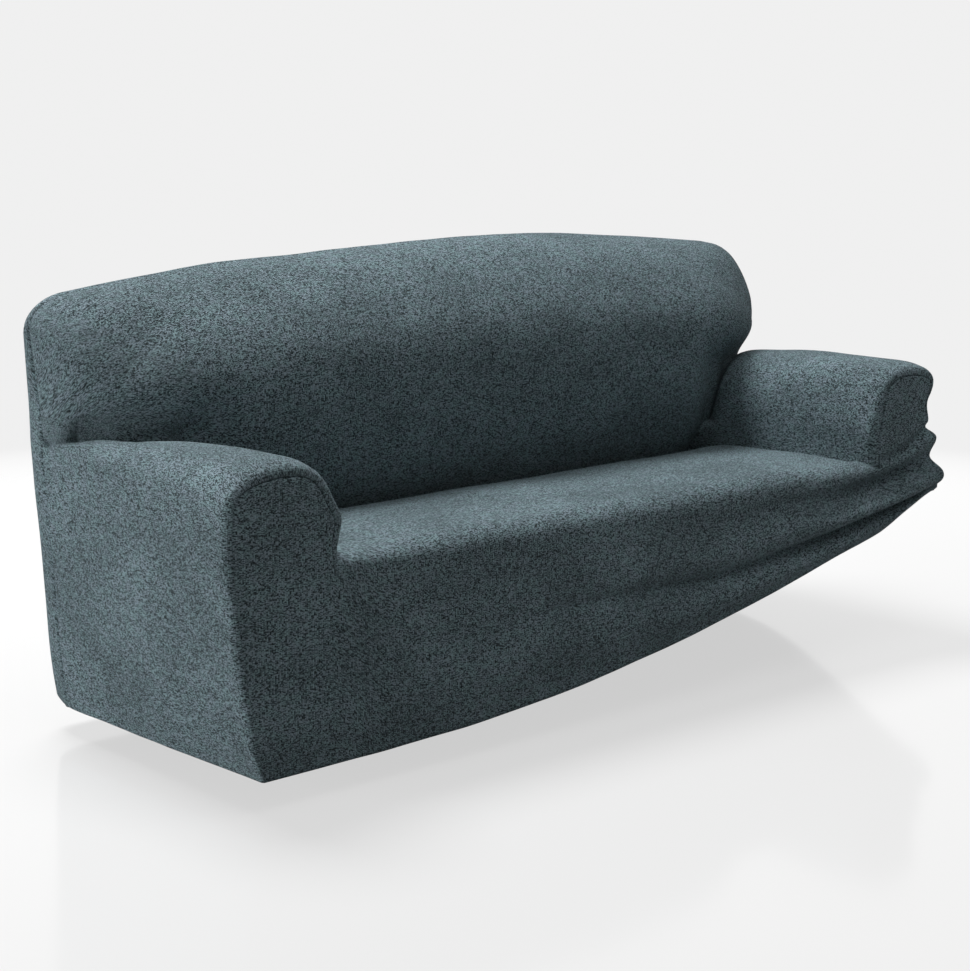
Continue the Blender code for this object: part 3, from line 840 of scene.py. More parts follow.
def arm_grid(side, rows):
    """The rows' points with their places in the cloth: run along the arm and round it."""
    along = np.array([run_lengths(line) for line in turned(rows)])
    along -= along[:, EDGE_STEPS][:, None]
    grid = []
    for j, row in enumerate(rows):
        round_arm = run_lengths(rows[max(j, EDGE_STEPS)])
        round_arm -= round_arm[ARCH_START + ARCH_STEPS // 2]
        across = ARM_WEAVE[side] + side * along[:, j]
        grid.append([(p, (across[k], round_arm[k])) for k, p in enumerate(row)])
    return grid


def arm(name, side, materials):
    """An arm's panel: outer side, top and inner side, from the arch seam to the rear."""
    grid = arm_grid(side, arm_rows(side))
    count = len(grid[0])
    inward = [(-side * nx, 0.0, -nz) for nx, nz in outward_normals(SECTIONS[side])]
    ahead = [(0, 1, 0)] * count
    grid = rolled_in(grid, ahead, [SEAM_DEPTH * past_edge(k) / SEAM_PAST for k in range(count)])
    last = ARCH_START + REAR_SEAM_POINTS
    at_rear = [REAR_SEAM_DEPTH if k <= last else 0.0 for k in range(count)]
    grid = rolled_in(grid[::-1], inward, at_rear)[::-1]
    grids = [grid, turned_in(grid[0], ahead), turned_in(grid[-1], inward)]
    rounding = [min((line[0][0][1] - FRONT_Y) / ARCH_EDGE_ROUND, 1.0) for line in grid]
    turns = [math.acos(1.0 - max(share, 0.0)) for share in rounding]
    ways = [(-side * math.sin(turn), math.cos(turn), 0.0) for turn in turns]
    grids.append(hem_fold([line[0] for line in grid], ways))
    return panel(name, grids, (side, 0, 0.5), materials)


print("arms lie in the cloth at", ARM_WEAVE)

# %% [markdown]
# The seat, the front skirt and both arm fronts are cut in one, so the weave runs on over the
# seat's edge and out on to the arm fronts. Each arm front is filled in inside its arch seam with
# a patch that is stretched evenly between its four edges.


# %% The seat's cloth
REAR_DIP = 0.032  # how far the seat's cloth dips into the crease under the back
REAR_DIP_REACH = 0.035  # share of the seat's depth in which that fades
SIDE_DIP = 0.007  # how far it dips beside the arms
SIDE_DIP_REACH = 0.010
DECK_ROW_POWER = 1.6  # how much closer the rows lie at the rear crease
GAP_POWER = 8  # how late the crease beside an arm narrows to a seam


def seat_reach(y):
    """How far along X the seat's cloth goes: up to the arm, round whose front edge it opens out."""
    forward = min(max((FRONT_Y + ARM_EDGE_ROUND - y) / ARM_EDGE_ROUND, 0.0), 1.0)
    opened = ARM_EDGE_ROUND * (1.0 - math.sqrt(1.0 - forward**2))
    return ARM_INNER_X + opened + mix(-CREASE_GAP / 2, SEAM_GAP, forward**GAP_POWER)


def seat_column(across):
    """The seat's points at a share of its length, from the crease over the edge to the hem."""
    column = []
    rear = depth_at(across * ARM_INNER_X, SEAT_CREASE_Z) - CREASE_GAP
    front = DECK[0][0]
    for t in np.linspace(0, 1, DECK_STEPS + 1):
        t = t**DECK_ROW_POWER
        y = mix(rear, front, t)
        reach = seat_reach(y)
        from_arm = (1.0 - abs(across)) * reach
        sink = REAR_DIP * math.exp(-t / REAR_DIP_REACH)
        sink += SIDE_DIP * math.exp(-from_arm / SIDE_DIP_REACH)
        column.append((across * reach, y, deck_height(across * reach, y) - sink))
    levels = skirt_levels(across * (ARM_INNER_X + ARM_EDGE_ROUND))
    edge, edge_proud = levels[0]
    for step in range(1, DECK_EDGE_STEPS):
        turn = math.pi / 2 * step / DECK_EDGE_STEPS
        y = front - (DECK_EDGE_ROUND + edge_proud) * math.sin(turn)
        x = across * seat_reach(max(y, FRONT_Y))
        column.append((x, y, mix(edge, deck_height(x, front), math.cos(turn))))
    reach = seat_reach(FRONT_Y)
    column += [(across * reach, FRONT_Y - proud, z) for z, proud in levels]
    return column


print("points from the seat's crease to the hem", len(seat_column(0.0)))

# %% [markdown]
# Below the seat's edge an arm's front carries on the rows of the skirt. Above it, the cloth inside
# the arch is one flat piece held at its seams, so it is filled in by blending its four edges,
# which gives even rows and no kinks. It swells by a few millimetres, so it doesn't look flat.

# %% An arm's front
ARCH_POINTS = ARCH_INNER - ARCH_SIDE + 1  # points across an arm's front
SETTLE_POWER = 4  # how late a row reaches the arch seam's depth


def skirt_rows(side, skirt_edge, seam):
    """The rows of an arm's front that carry on the skirt's, from the seat's edge down."""
    near = abs(skirt_edge[0][0][0])
    rows = []
    for level in range(LEVELS):
        start, start_uv = skirt_edge[level]
        end = seam[LEVELS - 1 - level]
        row = []
        for share in np.linspace(0, 1, ARCH_POINTS):
            z, proud = skirt_levels(side * mix(near, ARM_CUT_X, share))[level]
            settled = smoothstep(0, 1, share)
            x = mix(start[0], end[0], share)
            y = mix(start[1], FRONT_Y - proud, settled)
            row.append((x, mix(y, end[1], settled**SETTLE_POWER), z))
        row[0] = start
        row[-1] = end
        rows.append([(p, (p[0], start_uv[1] + p[2] - start[2])) for p in row])
    return rows


print("points across an arm's front", ARCH_POINTS)

# %% [markdown]
# The patch inside the arch starts on the row at the seat's edge. Near that row it still holds the
# uppermost fold, which fades out above it, and near the seams it does not swell.

# %% The patch inside the arch
PATCH_CROWN = 0.0030  # how far an arm's front swells inside its seams
SWELL_ROWS = 1.5  # rows of points in which the swelling grows from a seam
SWELL_ROWS_LOW = 4.0  # and from the seat's edge
FOLD_FADE = 0.060  # height in which the uppermost fold's form fades into the patch


def coons(left, right, bottom, top):
    """A patch between four edges. left and right run up, bottom and top run left to right."""
    left, right, bottom, top = (np.array(edge) for edge in (left, right, bottom, top))
    grid = []
    for v, (start, end) in zip(np.linspace(0, 1, len(left)), zip(left, right)):
        row = []
        for u, (low, high) in zip(np.linspace(0, 1, len(top)), zip(bottom, top)):
            corners = mix(mix(bottom[0], bottom[-1], u), mix(top[0], top[-1], u), v)
            row.append(tuple(mix(start, end, u) + mix(low, high, v) - corners))
        grid.append(row)
    return grid


def arch_patch(edge_row, seam):
    """The patch inside the arch seam, on top of the row at the seat's edge."""
    outer = [edge_row[-1]] + [seam[k] for k in range(LEVELS, ARCH_START + ARCH_SIDE + 1)]
    inner = [seam[k] for k in range(ARCH_START + ARCH_INNER, ARCH_END + 1)][::-1]
    missing = len(outer) - len(inner)
    start, end = np.array(edge_row[0]), np.array(inner[0])
    rise = [tuple(mix(start, end, k / missing)) for k in range(missing)]
    top = [seam[k] for k in range(ARCH_START + ARCH_SIDE, ARCH_START + ARCH_INNER + 1)][::-1]
    return coons(rise + inner, outer, edge_row, top)


def from_ends(k, last, near=SWELL_ROWS, far=SWELL_ROWS):
    """Grows from 0 at both ends of a row of points towards 1 between them."""
    return (1 - math.exp(-k / near)) * (1 - math.exp(-(last - k) / far))


def crowned(side, patch, edge_row, corner):
    """The patch swollen inside its seams, with the uppermost fold fading into it."""
    corner_point, corner_uv = corner
    near = abs(corner_point[0])
    last = ARCH_POINTS - 1
    rows = []
    for v, row in enumerate(patch):
        line = []
        for u, (x, y, z) in enumerate(row):
            swell = from_ends(u, last) * from_ends(v, len(patch) - 1, near=SWELL_ROWS_LOW)
            inside = 0.0 if u in (0, last) or v in (0, len(patch) - 1) else 1.0
            place = FRONT_Y - over_edge(side * mix(near, ARM_CUT_X, u / last), z)
            y = mix(y, place, inside * math.exp(-max(z - edge_row[u][2], 0.0) / FOLD_FADE))
            line.append(((x, y - PATCH_CROWN * swell, z), (x, corner_uv[1] + z - corner_point[2])))
        rows.append(line)
    return rows


print("swelling of an arm's front", PATCH_CROWN)

# %% [markdown]
# Now the rows and the patch are joined, and the edges are rolled in at the seams. Low down the
# side seams are shallow, because there the folds run on across them to the arms' outer sides.

# %% An arm's front, joined
SEAM_ROWS = (6, 20)  # rows over the seat's edge between which the side seams grow deep


def arm_front(side, skirt_edge):
    """An arm's front: rows that carry on the skirt's, and above them the patch inside the arch."""
    seam = edge_ring(side, 0.0, extra=SEAM_GAP)
    lower = skirt_rows(side, skirt_edge, seam)
    edge_row = [p for p, _ in lower[0]]
    patch = arch_patch(edge_row, seam)
    grid = lower[::-1] + crowned(side, patch, edge_row, skirt_edge[0])[1:]
    ahead = (0, 1, 0)
    arch = [SEAM_DEPTH] * ARCH_POINTS
    grid = rolled_in(grid[::-1], [ahead] * ARCH_POINTS, arch)[::-1]
    height = len(grid)
    low, high = (LEVELS + rows for rows in SEAM_ROWS)
    beside = [SEAM_DEPTH * smoothstep(low, high, k) for k in range(height)]
    beside[-1] = 0.0
    sides = rolled_in(turned(grid), [ahead] * height, beside)
    grid = turned(rolled_in(sides[::-1], [ahead] * height, beside)[::-1])
    inner_side = [row[0] for row in grid[-2 : LEVELS - 1 : -1]]
    border = [row[-1] for row in grid] + grid[-1][-2::-1] + inner_side
    return grid, turned_in(border, [ahead] * len(border))


print("side seams grow over rows", SEAM_ROWS)

# %% [markdown]
# The seat's columns and both arm fronts are joined to one panel. Its side edges and its rear edge
# are turned down into the creases, and the whole lower edge gets a folded hem.

# %% Seat and front panel
EDGE_COLUMNS = [0.983, 0.990, 0.996]  # shares of the length that get a column beside the arms
INTO_SIDE_CREASE = (0, 0.3, -1)
INTO_REAR_CREASE = (0, 0.2, -2)


def seat_and_front(name, materials):
    """Seat deck, front skirt and both arm fronts, cut in one."""
    columns = []
    even = np.linspace(-1.0, 1.0, LENGTH_STEPS + 1)
    for share in sorted([*even, *EDGE_COLUMNS, *(-x for x in EDGE_COLUMNS)]):
        points = seat_column(share)
        lengths = run_lengths(points)
        columns.append([(p, (p[0], 1.0 - s)) for p, s in zip(points, lengths)])
    middle = [list(row) for row in zip(*columns)]
    skirt = middle[-LEVELS:]
    grids = [middle]
    hems = [middle[-1]]
    for side, end in ((-1, 0), (1, -1)):
        front, allowance = arm_front(side, [row[end] for row in skirt])
        grids += [front, allowance]
        hems.append(front[0])
        deck_edge = [row[end] for row in middle[: DECK_STEPS + DECK_EDGE_STEPS]]
        grids.append(turned_in(deck_edge, [INTO_SIDE_CREASE] * len(deck_edge)))
    for hem in hems:
        grids.append(hem_fold(hem, [(0, 1, 0)] * len(hem)))
    grids.append(turned_in(middle[0], [INTO_REAR_CREASE] * len(middle[0])))
    return panel(name, grids, (0, -0.7, 0.7), materials)


print("columns of the seat", LENGTH_STEPS + 1 + 2 * len(EDGE_COLUMNS))

# %% [markdown]
# Both back panels are laid out in columns. Each point's place in the cloth is its run along the
# rows and down the columns, and the edges along the top and both ends roll in towards the middle
# of the panel, where they are sewn together.

# %% Weave and seams of the back panels
OUTLINE_MIDDLE = np.array([0.0, 0.5])


def with_weave(columns, shift):
    """The columns' points with their places in the cloth: lengths along the rows and columns."""
    points = np.array(columns)
    across = np.cumsum(np.linalg.norm(np.diff(points, axis=0), axis=2), axis=0)
    across = np.vstack([np.zeros((1, points.shape[1])), across])
    across -= across[len(columns) // 2]
    down = np.cumsum(np.linalg.norm(np.diff(points, axis=1), axis=2), axis=1)
    down = np.hstack([np.zeros((len(columns), 1)), down])
    grid = []
    for j in range(points.shape[1]):
        row = []
        for i in range(len(columns)):
            row.append((tuple(points[i, j]), (shift + across[i, j], 1.0 - down[i, j])))
        grid.append(row)
    return grid


def outline_ways(border):
    """The unit way in, square to the outline, at each point of a border seen from the front."""
    points = np.array([p for p, _ in border])
    along = np.gradient(points[:, [0, 2]], axis=0)
    along /= np.maximum(np.linalg.norm(along, axis=1), 1e-9)[:, None]
    ways = []
    for (x, z), (ax, az) in zip(points[:, [0, 2]], along):
        way = np.array([az, -ax])
        if way @ (OUTLINE_MIDDLE - (x, z)) < 0:
            way = -way
        ways.append((way[0], 0.0, way[1]))
    return ways


def rolled_outline(grid):
    """The grid rolled in along its top and both ends."""
    top = outline_ways(grid[0])
    grid = rolled_in(grid, top, [SEAM_DEPTH] * len(top))
    columns = turned(grid)
    for _ in range(2):
        ways = outline_ways(columns[0])
        depths = [0.0] + [REAR_SEAM_DEPTH] * (len(ways) - 1)
        columns = rolled_in(columns, ways, depths)[::-1]
    return turned(columns)


def outline_strips(grid):
    """The seam allowance along the top and both ends of a back panel."""
    left = [row[0] for row in grid][::-1]
    right = [row[-1] for row in grid]
    border = left + grid[0][1:-1] + right
    return turned_in(border, outline_ways(border))


print("back panels roll in by", SEAM_DEPTH, "at the top,", REAR_SEAM_DEPTH, "at the ends")

# %% [markdown]
# The inside of the back is one panel that rolls over the top and round both ends to the rear seam.
# Its columns stay evenly spaced round its upper corners. Its lower edge lies in the seat's crease,
# and climbs on to the arms at both sides.

# %% Inside of the back
BACK_WEAVE = 6.0  # where this panel lies in the cloth, in metres
FOOT_DROP = 0.002  # how far its lower edge lies under the crease at the back's ends
FOOT_TURN = 0.020  # length from the back's end in which it goes down into the dip
FOOT_TUCK = 0.010  # how far below TUCK_Z it is tucked between the arms
FOOT_RISE = (0.010, 0.045)  # places outward of the arm's inner side where it climbs on to the arm
EVEN_MARGIN = 0.010  # how far from the arms and from the middle the even columns end


def back_foot(x):
    """Lower edge of the inside of the back: on the arms at its ends, in the seat's crease between."""
    reach = abs(x)
    side = -1 if x < 0 else 1
    if reach > BACK_END_X - CREASE_TURN + CREASE_GAP:
        dip = ARM_DIP * smoothstep(0.0, FOOT_TURN, BACK_END_X - reach)
        return crease_height(side, reach) - FOOT_DROP - dip
    on_arm = BACK_END_Z - ARM_REAR_SINK[side] / 2
    start, end = (ARM_INNER_X + place for place in FOOT_RISE)
    return mix(TUCK_Z - FOOT_TUCK, on_arm, smoothstep(start, end, reach))


def inside_back(name, materials):
    """Inside face, rounded ends and the roll over the top, from the arms and seat to the seam."""
    over_arm = [rear_end(-1, k)[0] for k in range(ARCH_START, ARCH_END + 1)]
    middle = np.linspace(ARM_INNER_X - EVEN_MARGIN, EVEN_MARGIN, BACK_LENGTH_STEPS)
    columns = []
    for x in both_ways(over_arm + list(middle)):
        column = []
        for turn in np.linspace(0, math.pi / 2, BACK_ROUND_STEPS + 1):
            px, z, inset = back_place(x, BACK_ROUND * (1 - math.cos(turn)))
            column.append((px, face_depth(inset, px, z), z))
        start = column[-1][2]
        for share in np.linspace(0, 1, BACK_FACE_STEPS + 1)[1:]:
            z = mix(start, back_foot(x), share)
            px, _, inset = back_place(x, crown(x) - z)
            column.append((px, face_depth(inset, px, z), z))
        columns.append(column)
    grid = rolled_outline(with_weave(columns, BACK_WEAVE))
    return panel(name, [grid, outline_strips(grid)], (0, -1, 0), materials)


print("lower edge of the back at its middle", round(back_foot(0.0), 4))

# %% [markdown]
# The rear panel closes the cover behind, and wraps a few centimetres round its edges to the seam.
# Its rear edges are nearly square, so a rounded square gives their section, not a quarter circle.

# %% Rear panel
REAR_WEAVE = 8.0  # where this panel lies in the cloth, in metres
WRAP_POWER = 3.2  # how square the cover's rear edges are: 2 is a quarter circle
REAR_EVEN = (0.93, 0.005)  # half lengths between which its columns are evenly spaced


def rear_panel(name, materials):
    """Rear face, with the strips that wrap round the rear corners and over the top edge."""
    turns = np.linspace(0, math.pi / 2, WRAP_STEPS + 1)
    wraps = [REAR_WRAP * (1 - max(math.cos(turn), 0.0) ** (2 / WRAP_POWER)) for turn in turns]
    inner = np.linspace(*REAR_EVEN, REAR_LENGTH_STEPS)
    places = both_ways([BACK_END_X - wrap / END_SQUEEZE for wrap in wraps] + list(inner))
    drops = wraps + list(np.linspace(REAR_WRAP, BACK_ROUND, REAR_ROUND_STEPS)[1:])
    columns = []
    for x in places:
        spots = [back_place(x, drop) for drop in drops]
        top = spots[-1][1]
        heights = np.linspace(top, HEM_Z, REAR_STEPS + 1)[1:]
        spots += [back_place(x, crown(x) - z) for z in heights]
        column = []
        for px, z, inset in spots:
            forward = 1.0 - min(inset / REAR_WRAP, 1.0)
            y = mix(seam_y(z), REAR_Y, (1.0 - forward**WRAP_POWER) ** (1 / WRAP_POWER))
            column.append((px, y, z))
        columns.append(column)
    grid = rolled_outline(with_weave(columns, REAR_WEAVE))
    hem = hem_fold(grid[-1], [(0, -1, 0)] * len(grid[-1]))
    return panel(name, [grid, outline_strips(grid), hem], (0, 1, 0), materials)


print("wrap of the rear panel", round(REAR_WRAP, 4))


# %% [markdown]
# The cloth is a stretch knit of melange yarns. Its face is made of small uneven loops, each a little
# dome of its own shade with painted shade darkening the gap round it, in faint upright ribs, and dark
# yarns show as short flecks that lie across the panel. The face and the reverse of the cloth share
# the pattern, so it is one node group, and each material sets its own strengths. The pattern reads
# the flat cloth's UV in metres, so the loops keep their real size everywhere.


# %% Helpers for shader nodes
def group_node(tree, kind, **settings):
    """A new node in a tree, with its own settings."""
    node = tree.nodes.new(kind)
    for key, value in settings.items():
        setattr(node, key, value)
    return node


def map_range(tree, value, low, high, out_low=0.0, out_high=1.0):
    """A smooth step of a value, from out_low at low to out_high at high."""
    node = group_node(tree, "ShaderNodeMapRange", interpolation_type="SMOOTHSTEP")
    settings = (low, high, out_low, out_high)
    for label, setting in zip(("From Min", "From Max", "To Min", "To Max"), settings):
        node.inputs[label].default_value = setting
    tree.links.new(value, node.inputs["Value"])
    return node.outputs["Result"]


def maths(tree, operation, a, b):
    """One sum on two values, each a number or the output of a node."""
    node = group_node(tree, "ShaderNodeMath", operation=operation)
    for socket, value in zip(node.inputs, (a, b)):
        if isinstance(value, (int, float)):
            socket.default_value = value
        else:
            tree.links.new(value, socket)
    return node.outputs["Value"]


def blend(tree, factor, a, b):
    """A colour between two colours."""
    node = group_node(tree, "ShaderNodeMix", data_type="RGBA")
    for socket, value in ((node.inputs[0], factor), (node.inputs[6], a), (node.inputs[7], b)):
        tree.links.new(value, socket)
    return node.outputs[2]


print("shader helpers ready for", WEAVE_UV)

# %% [markdown]
# The knit's measures are counts in a metre, along the cloth and up it. Loops are wider than they
# are high, so more of them fit upright. The same counts serve the face and the reverse.

# %% Measures of the knit
LOOPS = (300.0, 620.0)
LOOP_UNEVEN = 0.6  # how unevenly the loops lie
STREAKS = (150.0, 760.0)  # runs of dark yarn
PATCHES = (14.0, 22.0)  # stretches with more dark yarn and with less
MIXES = (34.0, 48.0)  # patches where one or the other light yarn shows
SLOW_SHADES = (4.0, 6.0)  # wide shades of the whole cloth
RIBS = (62.0, 20.0)
LOOP_WEIGHT, STREAK_WEIGHT, PATCH_WEIGHT = 0.7, 0.7, 0.12  # what makes a dark fleck
FLECK_EDGE = (0.82, 1.04)  # between no fleck and a full one
PAINTED_GAP_EDGE = (0.30, 0.75)  # from a loop's middle to the gap round it, where painted shade darkens the colour
PAINTED_GAP_SHADE = 0.5  # painted shade: how much darker the gap between loops is made
LIGHT_EDGE = 0.9  # the loop's own shade at which no light yarn is left
SLOW_SPREAD = 0.15
MIX_EDGE = (0.38, 0.62)
LOOP_EDGE = 0.8  # where a loop's dome ends
RIB_HEIGHT = 0.5
FLECK_SINK = 0.5  # how deep a fleck lies
ROUGHNESS = (0.78, 0.95)  # of the lightest and of the darkest loop
print("loops in a square centimetre", round(LOOPS[0] * LOOPS[1] / 10000, 1))

# %% [markdown]
# A node group holds the pattern, so both materials share one copy of it. Voronoi cells give the
# loops, because each cell has a middle, a border and a shade of its own. Noise that is stretched
# along the cloth gives the streaks, and a wave gives the ribs.


# %% Patterns of the knit
def knit_sockets(sockets):
    """What the group is given and what it gives back."""
    sockets.new_socket("Cloth place", in_out="INPUT", socket_type="NodeSocketVector")
    for label in ("Fleck strength", "Rib strength", "Shade strength"):
        socket = sockets.new_socket(label, in_out="INPUT", socket_type="NodeSocketFloat")
        socket.default_value = 1.0
    for label in ("Ground", "Light yarn", "Second light yarn", "Fleck"):
        sockets.new_socket(label, in_out="INPUT", socket_type="NodeSocketColor")
    sockets.new_socket("Colour", in_out="OUTPUT", socket_type="NodeSocketColor")
    sockets.new_socket("Height", in_out="OUTPUT", socket_type="NodeSocketFloat")
    sockets.new_socket("Roughness", in_out="OUTPUT", socket_type="NodeSocketFloat")


def scaled(tree, place, counts):
    """The cloth place, stretched so that a pattern repeats so many times in a metre."""
    node = group_node(tree, "ShaderNodeMapping", vector_type="POINT")
    node.inputs["Scale"].default_value = (*counts, 1.0)
    tree.links.new(place, node.inputs["Vector"])
    return node.outputs["Vector"]


def soft_noise(tree, place, counts, detail=2.0, rough=0.5, warp=0.0):
    """Noise on the cloth, from 0 to 1."""
    node = group_node(tree, "ShaderNodeTexNoise", noise_dimensions="2D")
    node.inputs["Scale"].default_value = 1.0
    node.inputs["Detail"].default_value = detail
    node.inputs["Roughness"].default_value = rough
    node.inputs["Distortion"].default_value = warp
    tree.links.new(scaled(tree, place, counts), node.inputs["Vector"])
    return node.outputs["Fac"]


def loops(tree, place):
    """One cell a loop: how far a place is from the loop's middle, and the loop's own shade."""
    node = group_node(tree, "ShaderNodeTexVoronoi", voronoi_dimensions="2D", feature="F1")
    node.inputs["Scale"].default_value = 1.0
    node.inputs["Randomness"].default_value = LOOP_UNEVEN
    tree.links.new(scaled(tree, place, LOOPS), node.inputs["Vector"])
    shade = tree.nodes.new("ShaderNodeSeparateColor")
    tree.links.new(node.outputs["Color"], shade.inputs["Color"])
    return node.outputs["Distance"], shade.outputs["Red"]


def ribs(tree, place):
    """Faint upright ribs, from 0 to 1."""
    node = group_node(tree, "ShaderNodeTexWave", wave_type="BANDS", bands_direction="X")
    for label, value in (("Scale", 1.0), ("Distortion", 0.8), ("Detail", 1.0), ("Detail Scale", 1.0)):
        node.inputs[label].default_value = value
    tree.links.new(scaled(tree, place, RIBS), node.inputs["Vector"])
    return node.outputs["Fac"]


print("ribs in a metre", RIBS[0])

# %% [markdown]
# A loop with a high shade of its own, under a dark streak, becomes a fleck. The other loops are mixed
# from the ground and the light yarns, with painted shade darkening the gaps between them. The height
# is the loop's dome with the rib under it, and a fleck lies a little deeper.


# %% The knit as a node group
def knit_group():
    """The cloth's pattern: its colour, its height and its roughness at each place."""
    tree = bpy.data.node_groups.new("Melange crepe knit", "ShaderNodeTree")
    knit_sockets(tree.interface)
    given = tree.nodes.new("NodeGroupInput").outputs
    result = tree.nodes.new("NodeGroupOutput").inputs
    place = given["Cloth place"]
    away, shade = loops(tree, place)
    streak = soft_noise(tree, place, STREAKS, rough=0.6, warp=0.3)
    patch = soft_noise(tree, place, PATCHES, detail=3.0, rough=0.6)
    loop_part = maths(tree, "MULTIPLY", shade, LOOP_WEIGHT)
    streak_part = maths(tree, "MULTIPLY", streak, STREAK_WEIGHT)
    darkness = maths(tree, "ADD", loop_part, streak_part)
    darkness = maths(tree, "ADD", darkness, maths(tree, "MULTIPLY", patch, PATCH_WEIGHT))
    dark = maths(tree, "MULTIPLY", map_range(tree, darkness, *FLECK_EDGE), given["Fleck strength"])
    # painted shade: each loop's colour darkens towards the gap round it
    painted_gap_shade = maths(tree, "MULTIPLY", map_range(tree, away, *PAINTED_GAP_EDGE), PAINTED_GAP_SHADE)
    light = maths(tree, "SUBTRACT", map_range(tree, shade, 0.0, LIGHT_EDGE, 1.0, 0.0), painted_gap_shade)
    slow = soft_noise(tree, place, SLOW_SHADES)
    slow = map_range(tree, slow, 0.3, 0.7, -SLOW_SPREAD, SLOW_SPREAD)
    light = maths(tree, "ADD", light, maths(tree, "MULTIPLY", slow, given["Shade strength"]))
    mixed = map_range(tree, soft_noise(tree, place, MIXES), *MIX_EDGE)
    pale = blend(tree, mixed, given["Light yarn"], given["Second light yarn"])
    colour = blend(tree, light, given["Ground"], pale)
    tree.links.new(blend(tree, dark, colour, given["Fleck"]), result["Colour"])
    rib = maths(tree, "MULTIPLY", ribs(tree, place), given["Rib strength"])
    dome = map_range(tree, away, 0.0, LOOP_EDGE, 1.0, 0.0)
    height = maths(tree, "ADD", dome, maths(tree, "MULTIPLY", rib, RIB_HEIGHT))
    height = maths(tree, "SUBTRACT", height, maths(tree, "MULTIPLY", dark, FLECK_SINK))
    tree.links.new(height, result["Height"])
    tree.links.new(map_range(tree, shade, 0.0, 1.0, *ROUGHNESS), result["Roughness"])
    return tree


KNIT = knit_group()
print("knit group sockets", [item.name for item in KNIT.interface.items_tree])

# %% [markdown]
# The face and the reverse are two materials on the same pattern. The reverse is darker and
# flatter, as the back of a knit is. A little sheen stands for the fine hairs that catch the light
# at a low angle, and a bump node makes the loops stand up without more points in the mesh.

# %% Face and reverse of the cloth
SHEEN_ROUGHNESS = 0.45
SHEEN_TINT = (0.62, 0.78, 0.84, 1.0)
SPECULAR = 0.20  # cloth has little mirror-like shine


def cloth(name, ground, light_yarns, fleck, fleck_strength, rib_strength, sheen, relief):
    """A material of one face of the cloth. relief is the height of its loops, in metres."""
    material = bpy.data.materials.new(name)
    material.use_nodes = True
    tree = material.node_tree
    shader = tree.nodes["Principled BSDF"]
    place = group_node(tree, "ShaderNodeUVMap", uv_map=WEAVE_UV)
    knit = group_node(tree, "ShaderNodeGroup", node_tree=KNIT)
    knit.inputs["Fleck strength"].default_value = fleck_strength
    knit.inputs["Rib strength"].default_value = rib_strength
    knit.inputs["Ground"].default_value = (*ground, 1.0)
    for label, colour in zip(("Light yarn", "Second light yarn"), light_yarns):
        knit.inputs[label].default_value = (*colour, 1.0)
    knit.inputs["Fleck"].default_value = (*fleck, 1.0)
    bump = tree.nodes.new("ShaderNodeBump")
    bump.inputs["Strength"].default_value = 1.0
    bump.inputs["Distance"].default_value = relief
    shader.inputs["Sheen Weight"].default_value = sheen
    shader.inputs["Sheen Roughness"].default_value = SHEEN_ROUGHNESS
    shader.inputs["Sheen Tint"].default_value = SHEEN_TINT
    shader.inputs["Specular IOR Level"].default_value = SPECULAR
    tree.links.new(place.outputs["UV"], knit.inputs["Cloth place"])
    tree.links.new(knit.outputs["Colour"], shader.inputs["Base Color"])
    tree.links.new(knit.outputs["Roughness"], shader.inputs["Roughness"])
    tree.links.new(knit.outputs["Height"], bump.inputs["Height"])
    tree.links.new(bump.outputs["Normal"], shader.inputs["Normal"])
    return material


FACE = cloth(
    "cloth_face",
    ground=(0.070, 0.101, 0.114),
    light_yarns=((0.238, 0.352, 0.378), (0.257, 0.335, 0.386)),
    fleck=(0.012, 0.018, 0.020),
    fleck_strength=0.95,
    rib_strength=1.0,
    sheen=0.10,
    relief=0.0010,
)
REVERSE = cloth(
    "cloth_reverse",
    ground=(0.075, 0.105, 0.115),
    light_yarns=((0.145, 0.208, 0.222), (0.155, 0.202, 0.228)),
    fleck=(0.025, 0.035, 0.040),
    fleck_strength=0.6,
    rib_strength=0.8,
    sheen=0.05,
    relief=0.0007,
)
print("cloth materials", FACE.name, REVERSE.name)

# %% [markdown]
# Now the panels are made, and each hangs from the root in place of its part of the imported model,
# which is hidden. Each one is a sheet of stretch cloth that was cut a little smaller than it is worn,
# so its flat size is the worn size over the stretch.

both_faces = [FACE, REVERSE]
makers = {
    "left_arm_cloth": ("arm_left", lambda name: arm(name, -1, both_faces), (0.80, 1.12)),
    "right_arm_cloth": ("arm_right", lambda name: arm(name, 1, both_faces), (0.80, 1.08)),
    "seat_and_front_cloth": (
        "seat_and_front",
        lambda name: seat_and_front(name, both_faces),
        (2.00, 0.90),
    ),
    "inside_back_cloth": ("inside_back", lambda name: inside_back(name, both_faces), (2.20, 0.66)),
    "rear_cloth": ("rear_panel", lambda name: rear_panel(name, both_faces), (2.04, 0.92)),
}
for name, (node, make, (width, length)) in makers.items():
    piece = make(name)
    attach(piece, "root")
    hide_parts(node)

# %% [markdown]
# The camera stands left of the cover's front, a little above its crown, with a long lens. Its
# place, its angles and its lens were solved from the cover's long edges in the photograph, so
# that the drawn edges fall on the seen ones.

# %% Camera
CAMERA_AT = (-3.025, -3.436, 1.320)
AZIMUTH, ELEVATION, ROLL = (math.radians(a) for a in (-40.5, 10.91, -0.265))
LENS_PX = 2130.0  # focal length in pixels of the photograph
FRAME_PX = 971  # its longer side
SENSOR_MM = 36.0
FAR_CLIP = 60.0

